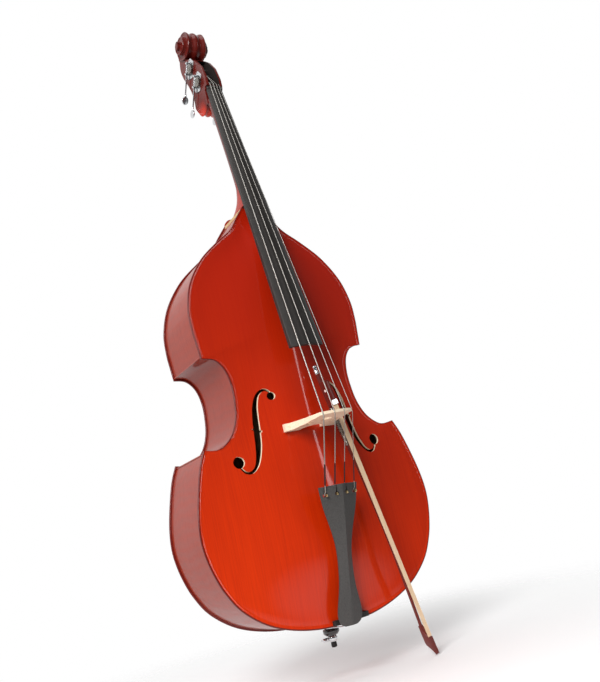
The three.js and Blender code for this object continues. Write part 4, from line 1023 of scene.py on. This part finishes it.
def string_path(name, place):
    radius = STRING_RADIUS[name]
    post = Vector(joints[f"post_{name}_turn"]["pos_m"]) / MM
    post_y, post_z = post.y - FRONT, post.z - FOOT
    x0, x1 = place * STRING_GAP, place * NUT_GAP
    off = radius + 0.35
    nut_y = board_face(x1, NUT_Z) - 2.2 - off
    angle = math.atan2(post_y - nut_y, post_z - NUT_Z - 12)
    reach = 5 + 2 * radius + off
    top = crown(x0) - off
    return [
        leaned(x0, -88, TAIL_TOP - 20), leaned(x0, -97, TAIL_TOP - 13), leaned(x0, -101, TAIL_TOP),
        at(x0, top - 1.5, BRIDGE_Z - 7), at(x0, top - 0.4, BRIDGE_Z), at(x0, top - 0.2, BRIDGE_Z + 7),
        at(x1, nut_y, NUT_Z - 2), at(x1, nut_y, NUT_Z + 6), at(x1 * 0.97, nut_y + 1.5, NUT_Z + 13),
        at(x1 * 0.72, post_y - reach * math.cos(angle), post_z + reach * math.sin(angle) - 1),
    ]


def stretched(path, step=12):
    """The same straight stretches with more points on them."""
    points = []
    for a, b in zip(path, path[1:]):
        count = max(1, int((b - a).length / step))
        points += [a.lerp(b, i / count) for i in range(count)]
    return points + [path[-1]]


for number, name in enumerate("eadg"):
    place = number - 1.5
    path = string_path(name, place)
    radius = STRING_RADIUS[name]
    wire = skin(f"string_{name}_wound", tube(stretched(path), radius, 12), [STRING_STEEL], 60)
    placed(wire, "instrument", "string_steel", f"string_{name}")
    start, goal = path[2], path[3]
    direction = (goal - start).normalized()
    wrap_path = [start + direction * lerp(SILK_FROM - 12, SILK_TO, i / 30) for i in range(31)]
    wrap = skin(f"string_{name}_silk",
                tube(wrap_path, lambda t, r=radius: r + 0.55 * min(1, 12 * t, 12 * (1 - t)) + 0.02, 14),
                [SILK], 60)
    placed(wrap, "instrument", "string_steel")
    ball = [(1.3, -2.6), (3.2, -2.4), (3.6, -1.2), (3.6, 1.2), (3.2, 2.4), (1.3, 2.6), (1.3, -2.6)]
    hole = leaned(place * STRING_GAP, -97 - 8 * (1 - abs(place) / 2), TAIL_TOP - 21)
    end = skin(f"string_{name}_ball",
               turned(ball, 28, lambda x, y, z, h=hole: h + Vector((z, y, x))), [BALL_BRASS], 40)
    placed(end, "instrument", "string_steel")

COLLAR_WAIST = 49
tail_foot = -math.sin(TAIL_LEAN) * (TAIL_TOP - 13)


def wire_side(k):
    return [at(tail_foot + 9 * k, -24.8, 26), at(tail_foot + 9 * k, -21.4, 21),
            at(tail_foot + 9 * k, -17.9, 12), at(tail_foot * 0.9 + 9.5 * k, -17.9, 4),
            at(tail_foot * 0.86 + 10 * k, -12.4, -3.4), at(tail_foot * 0.78 + 10.5 * k, 0, -4.6),
            at(tail_foot * 0.4 + 13.5 * k, 50, COLLAR_WAIST + 1.8 - FOOT), Vector((18 * k, -8, COLLAR_WAIST))]


loop_round = [Vector((x, y, COLLAR_WAIST)) for x, y in ((-12.8, 12.8), (0, 18), (12.8, 12.8))]
wire_route = wire_side(-1) + loop_round + wire_side(1)[::-1]
wire_line = [Vector(catmull([tuple(p) for p in wire_route], i / 160)) for i in range(161)]
placed(skin("tail_wire_fine", tube(wire_line, 1.6, 12), [NICKEL], 60),
       "instrument", "string_steel", "tail_wire")
print("strings strung:", len(STRING_RADIUS))

# %% [markdown]
# ## Endpin
# The collar is turned black wood in the bottom block. A chrome ferrule holds the steel rod, a wing screw
# clamps it, and a rubber tip keeps it from slipping. All but the screw's wings come off a lathe.

# %% Endpin
ROD_R = 5
plug = [(5.5, 30), (16.2, 30), (17, 30.8), (20.2, 34.5), (21, 36), (21, 43), (20.4, 44.2), (14.6, 46.6),
        (14, 47.6), (14, 50.4), (14.6, 51.4), (19.4, 53), (20, 54), (20, 59.4), (19.4, 60.4), (15.6, 62.6),
        (12.5, 112), (5.5, 112), (5.5, 30)]
ferrule = [(5.5, 14.3), (9.2, 14.3), (9.8, 14.9), (11, 17), (12.2, 18.2), (12.5, 19), (12.5, 25.4),
           (12, 26.4), (10.5, 29.2), (10, 29.6), (5.5, 29.6), (5.5, 14.3)]
rod = [(0, 6), (ROD_R, 6)]
for groove in range(120, 410, 70):
    rod += [(ROD_R, groove - 3), (ROD_R - 1, groove - 1.5), (ROD_R - 1, groove + 1.5), (ROD_R, groove + 3)]
rod += [(ROD_R, 428), (3, 430), (0, 430)]
tip = [(0, 0), (4.4, 0), (5.2, 0.3), (6.8, 1.6), (7.3, 4), (7.4, 6), (6.6, 12), (5.7, 13.8), (5.35, 14),
       (5.35, 5.65), (0, 5.65)]
placed(skin("endpin_collar", turned(plug, 64), [GLOSS_BLACK], 30), "instrument", "gloss_black", "endpin_plug")
placed(skin("endpin_sleeve", turned(ferrule, 56), [NICKEL], 30), "instrument", "nickel", "endpin_ferrule")
placed(skin("endpin_shaft", turned(rod, 32), [NICKEL], 30), "endpin", "nickel", "endpin_rod")
placed(skin("endpin_rubber", turned(tip, 40), [RUBBER], 40), "endpin", "rubber", "endpin_tip")

SCREW_Z = 22
screw_axis = lambda x, y, z: Vector((-z, x, SCREW_Z + y))
shank = turned([(0, 5.35), (3, 5.35), (3, 14), (4.6, 14.4), (4.6, 27), (3.8, 28), (3, 29), (0, 29)],
               28, screw_axis)
wings = [sheet_cut([(-26 + 4.2 * math.cos(a), side * 6.3 + 5.5 * math.sin(a))
                    for a in (2 * math.pi * k / 32 for k in range(32))], [], 2.4, 0.5,
                   lambda u, v, w: Vector((u, v, SCREW_Z + w))) for side in (-1, 1)]
placed(skin("endpin_wings", together(shank, *wings), [NICKEL], 35), "endpin_clamp", "nickel", "endpin_screw")
print("endpin turned")

# %% [markdown]
# ## Tuning machines
# A key turns a worm, the worm turns a steel gear, and the gear's post winds the string. Each machine is
# drawn in its own frame, with Z along the worm's shaft, and set on its post's axis from the joints.

# %% Machines
GEAR_X, WORM_OFF, SHAFT, TEETH, GEAR_TIP = 33.35, 19.6, 77, 28, 15
MACHINES = {"e": -1, "a": -1, "d": 1, "g": 1}


def machine_frame(name):
    post = Vector(joints[f"post_{name}_turn"]["pos_m"]) / MM
    up = Vector(joints[f"key_{name}_turn"]["axis"]).normalized()
    across = Vector((0, up.z, -up.y))
    return lambda x, y, z: post + Vector((x, 0, 0)) + across * y + up * z


def gear_loop():
    loop = []
    for i in range(TEETH):
        for r, k in ((GEAR_TIP - 1.8, 0.08), (GEAR_TIP, 0.38), (GEAR_TIP, 0.62), (GEAR_TIP - 1.8, 0.92)):
            a = 2 * math.pi * (i + k) / TEETH
            loop.append((r * math.cos(a), r * math.sin(a)))
    return loop


def worm_thread(place, side):
    """Rings whose bulge runs round the shaft once a pitch, which cuts a real thread."""
    rings, pitch, sides = [], 3.3, 24
    for i in range(97):
        z = lerp(-12, 12, i / 96)
        ring = []
        for k in range(sides):
            a = 2 * math.pi * k / sides
            crest = 0.5 + 0.5 * math.cos(2 * math.pi * z / pitch - side * a)
            r = 2.7 + 1.5 * smoothstep(crest, 0.2, 0.8) * smoothstep(12 - abs(z), 0, 1.5)
            ring.append(place(side * GEAR_X + r * math.cos(a), WORM_OFF + r * math.sin(a), z))
        rings.append(ring)
    return loft(rings)


def paddle(place, side, turn):
    outline = [(12.4 * math.cos(a), -12 + 12.4 * math.sin(a))
               for a in (lerp(math.pi * 0.62, math.pi * 2.38, k / 40) for k in range(41))]
    outline += [(3.4, 2), (2.6, 8), (-2.6, 8), (-3.4, 2)]

    def spot(u, v, w):
        dished = w * (1 - 0.3 * math.exp(-((u / 7) ** 2 + ((v + 12) / 7) ** 2)))
        return place(side * GEAR_X + u * math.cos(turn) + dished * math.sin(turn),
                     WORM_OFF + u * math.sin(turn) - dished * math.cos(turn), v - SHAFT - 4)
    return sheet_cut(outline, [], 4.4, 1.2, spot)


for name, side in MACHINES.items():
    place = machine_frame(name)
    shaft_spot = lambda x, y, z, p=place, s=side: p(s * GEAR_X + x, WORM_OFF + y, z)
    post_spot = lambda x, y, z, p=place, s=side: p(s * z, y, x)
    rest_turn = math.pi / 2 if name in "eg" else 0.35
    rod_profile = [(0, -SHAFT), (2.3, -SHAFT), (2.3, -20), (3.6, -20), (4, -19.6), (4, -18.4), (2.3, -18.2),
                   (2.3, 18.2), (4, 18.4), (4, 19.2), (3.4, 20), (0, 20)]
    key_shape = together(turned(rod_profile, 28, shaft_spot), worm_thread(place, side),
                         paddle(place, side, rest_turn))
    placed(skin(f"tuner_{name}_worm_key", key_shape, [NICKEL], 32),
           f"worm_{name}", "nickel", f"tuner_{name}_key")

    wheel = sheet_cut(gear_loop(), [], 5, 0.25, lambda u, v, w, p=place, s=side: p(s * GEAR_X + w, u, v))
    boss = turned([(0, 35), (6.2, 35.8), (6.2, 36.6), (5, 37.3), (2, 37.3), (1.6, 36.6), (0, 36.6)],
                  28, post_spot)
    barrel = turned([(0, -24), (4.6, -24), (5, -23.6), (5, 31), (0, 31)], 28, post_spot)
    placed(skin(f"tuner_{name}_wheel", together(wheel, boss, barrel), [GEAR_STEEL], 32),
           f"post_{name}", "gear_steel", f"tuner_{name}_gear")

    radius = STRING_RADIUS[name]
    coil_x = NUT_GAP * ("eadg".index(name) - 1.5) * 0.72
    coil_half = min(3.2 * radius, 3.4) - radius
    coil = [place(coil_x + lerp(-coil_half, coil_half, i / 90), (5 + radius) * math.cos(i / 90 * 6 * math.pi),
                  (5 + radius) * math.sin(i / 90 * 6 * math.pi)) for i in range(91)]
    placed(skin(f"tuner_{name}_turns", tube(coil, radius, 8), [STRING_STEEL], 60),
           f"post_{name}", "string_steel")

    kept(f"tuner_{name}_plate", NICKEL, 0.5)
    for y, z in ((-7, -19), (-7, 19), (17, 24.5)):
        screw = turned([(0, 28.0), (2.6, 28.0), (2.6, 28.9), (1.8, 29.6), (0, 29.8)], 20,
                       lambda a, b, c, p=place, s=side, v=y, w=z: p(s * c, v + a, w + b))
        placed(skin(f"tuner_{name}_screw_{y + 7}_{z + 19:.0f}", screw, [NICKEL], 30), "instrument", "nickel")
print("machines fitted:", len(MACHINES))

# %% [markdown]
# ## Bow
# The stick is one slim dark rod that bends towards the hair. The frog slides on it when the button is
# turned, and silver wire is wound over the grip. The bow's own frame runs from the button to the head.

# %% Bow
bow_screw = joints["bow_screw_turn"]
BUTTON = Vector(bow_screw["pos_m"]) / MM
bow_z = Vector(bow_screw["axis"]).normalized()
bow_x = Vector((0, 1, 0)).cross(bow_z).normalized()
bow_y = bow_z.cross(bow_x)
BOW_LONG, CAMBER, HAIR_Y = 702.8, 15, -24


def on_bow(x, y, z):
    return BUTTON + bow_x * x + bow_y * y + bow_z * z


def camber(z):
    return -CAMBER * math.sin(math.pi * clamp((z - 100) / (BOW_LONG - 100), 0, 1)) ** 1.2


def stick_radius(z):
    return lerp(5.6, 3.9, z / BOW_LONG)


def bow_ring(z, r, sides=20):
    turn = [2 * math.pi * (k + 0.5) / sides for k in range(sides)]
    return [on_bow(r * math.cos(a), camber(z) + r * math.sin(a), z) for a in turn]


side_spot = lambda u, v, w: on_bow(w, v, u)
stick = loft([bow_ring(lerp(12.4, 692, i / 80), stick_radius(lerp(12.4, 692, i / 80))) for i in range(81)])
HEAD = [(684, 4.2), (705, 4.4), (727, 4), (733, 1.5), (738, -4), (743, -11), (749, -17), (755, -21.4),
        (740, -21), (712, -20), (707, -13.5), (697, -8), (684, -3.9)]
head = sheet_cut(HEAD, [], 10.4, 1.6, side_spot)
placed(skin("bow_stick_fine", together(stick, head), [BOW_WOOD], 45), "bow", "bow_wood", "bow_stick")

FROG = [(38, -6.3), (101, -6.3), (100, -13), (92, -17.5), (88, -18.6), (88, -27.2), (39, -27.2), (34.4, -21),
        (35, -9)]
placed(skin("bow_frog_fine", sheet_cut(FROG, [], 16, 1.0, side_spot), [BOW_WOOD], 40),
       "bow_heel", "bow_wood", "bow_frog")

wire_rings = []
for i in range(409):
    z = lerp(106, 208, i / 408)
    ripple = 0.35 * math.sin(2 * math.pi * (z - 106))
    wire_rings.append(bow_ring(z, stick_radius(z) + 0.75 + ripple, 18))
placed(skin("bow_winding", loft(wire_rings), [GRIP_WIRE], 60), "bow", "string_steel", "bow_grip")

button = [(0, -12), (3, -12), (4.6, -11.4), (5.6, -10.4), (6, -8.4), (5.9, -7), (5.4, -5.6), (5.4, 5.4),
          (6, 6.4), (6, 11), (5.4, 12), (0, 12)]
placed(skin("bow_button_fine", turned(button, 32, on_bow), [NICKEL], 35), "bow_end", "nickel", "bow_button")


def hair_ring(t):
    half, y = lerp(6.9, 5.6, t), lerp(HAIR_Y, -20.4, t)
    face = [(lerp(-half, half, k / 28), y - 0.35 - 0.13 * math.cos(k * math.pi)) for k in range(29)]
    back_face = [(lerp(half, -half, k / 28), y + 0.35 + 0.13 * math.cos(k * math.pi)) for k in range(29)]
    return [on_bow(x, yy, lerp(76, 711.6, t)) for x, yy in face + back_face]


placed(skin("bow_hair_fine", loft([hair_ring(i / 24) for i in range(25)]), [HAIR], 80),
       "bow", "horsehair", "bow_hair")
kept("bow_ferrule", NICKEL, 0.4)
kept("bow_head_plate", BOW_WOOD, 0.3)
kept("bow_eye_left", PEARL, 0.3)
kept("bow_eye_right", PEARL, 0.3)
print("bow built, hair ends at", [round(v) for v in on_bow(0, -20.4, 711.6)])

# %% [markdown]
# ## Stage, light and camera
# A plain pale floor lies just under the bow's head, which is the lowest point. The backdrop is white, and
# the room in front is dimmer, because gloss varnish looks washed out when it mirrors a bright wall.
# A large soft panel lights the front, a slim one draws the long highlight of wet-looking varnish, and a
# third lights it from above.

# %% Stage
low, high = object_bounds()
world = bpy.data.worlds.new("pale_room")
bpy.context.scene.world = world
world.use_nodes = True
room = Finish.__new__(Finish)
room.tree = world.node_tree
way = room.node("ShaderNodeTexCoord", {}, {}, "Generated")
depth = room.node("ShaderNodeSeparateXYZ", {}, {"Vector": way}, "Y")
DIM, BRIGHT, WHITE = (0.08, 0.08, 0.082, 1), (0.9, 0.9, 0.9, 1), (1, 1, 1, 1)
tone = room.mix(room.share(depth, -0.3, 0.3), DIM, BRIGHT)
seen = room.node("ShaderNodeLightPath", {}, {}, "Is Camera Ray")
tone = room.mix(seen, tone, WHITE)
room.tree.links.new(tone.socket, room.tree.nodes["Background"].inputs["Color"])
bpy.context.scene.view_settings.view_transform = "Standard"

floor_mesh = bpy.data.meshes.new("floor")
FLOOR_REACH, FLOOR_GAP, FADE_START, FADE_END = 3, 0.002, 0.35, 1.5
reach = FLOOR_REACH
floor_mesh.from_pydata([(-reach, -reach, 0), (reach, -reach, 0), (reach, reach, 0), (-reach, reach, 0)], [],
                       [(0, 1, 2, 3)])
floor = bpy.data.objects.new("floor", floor_mesh)
floor.location.z = low.z - FLOOR_GAP
bpy.context.scene.collection.objects.link(floor)
paper = Finish("floor_paper", Roughness=0.9)
far = paper.node("ShaderNodeVectorMath", {"operation": "LENGTH"}, {0: paper.place()}, "Value")
paper.feed({"Base Color": paper.mix(0.3 * paper.noise(3), colour(253, 253, 253), colour(249, 249, 249)),
            "Alpha": 1 - paper.share(far, FADE_START, FADE_END)})
floor_mesh.materials.append(paper.material)


def panel(name, spot, target, size, power):
    lamp = bpy.data.lights.new(name, "AREA")
    lamp.shape = "RECTANGLE"
    lamp.size, lamp.size_y = size
    lamp.energy = power
    holder = bpy.data.objects.new(name, lamp)
    bpy.context.scene.collection.objects.link(holder)
    holder.location = spot
    holder.rotation_mode = "QUATERNION"
    holder.rotation_quaternion = (Vector(target) - Vector(spot)).to_track_quat("-Z", "Y")
    return holder


middle = (low + high) / 2
panel("left_panel", middle + Vector((-2.6, -2.2, 1.2)), middle, (1.6, 2.4), 165)
panel("right_panel", middle + Vector((1.9, -2.6, 0.6)), middle, (0.16, 2.2), 7)
panel("top_panel", middle + Vector((-0.4, -0.8, 3.0)), middle, (1.6, 1.6), 20)

AZIMUTH, ELEVATION, ROLL = (math.radians(a) for a in (-33.09, -14.14, -13.78))
DISTANCE, LENS, SENSOR = 1.9733, 38.91, 36
TARGET = Vector((0.0529, -0.097, 0.7714))
back_dir = Vector((math.sin(AZIMUTH) * math.cos(ELEVATION), -math.cos(AZIMUTH) * math.cos(ELEVATION),
                   math.sin(ELEVATION)))
lens = bpy.data.cameras.new("camera")
lens.lens, lens.sensor_width, lens.sensor_fit = LENS, SENSOR, "AUTO"
camera = bpy.data.objects.new("camera", lens)
bpy.context.scene.collection.objects.link(camera)
right_axis = (-back_dir).cross(Vector((0, 0, 1))).normalized()
up_axis = right_axis.cross(-back_dir)
rolled_right = right_axis * math.cos(ROLL) + up_axis * math.sin(ROLL)
rolled_up = up_axis * math.cos(ROLL) - right_axis * math.sin(ROLL)
turned_axes = Matrix((rolled_right, rolled_up, back_dir)).transposed().to_4x4()
camera.matrix_world = Matrix.Translation(TARGET + back_dir * DISTANCE) @ turned_axes
bpy.context.scene.camera = camera
print("camera at", [round(v, 3) for v in camera.location])
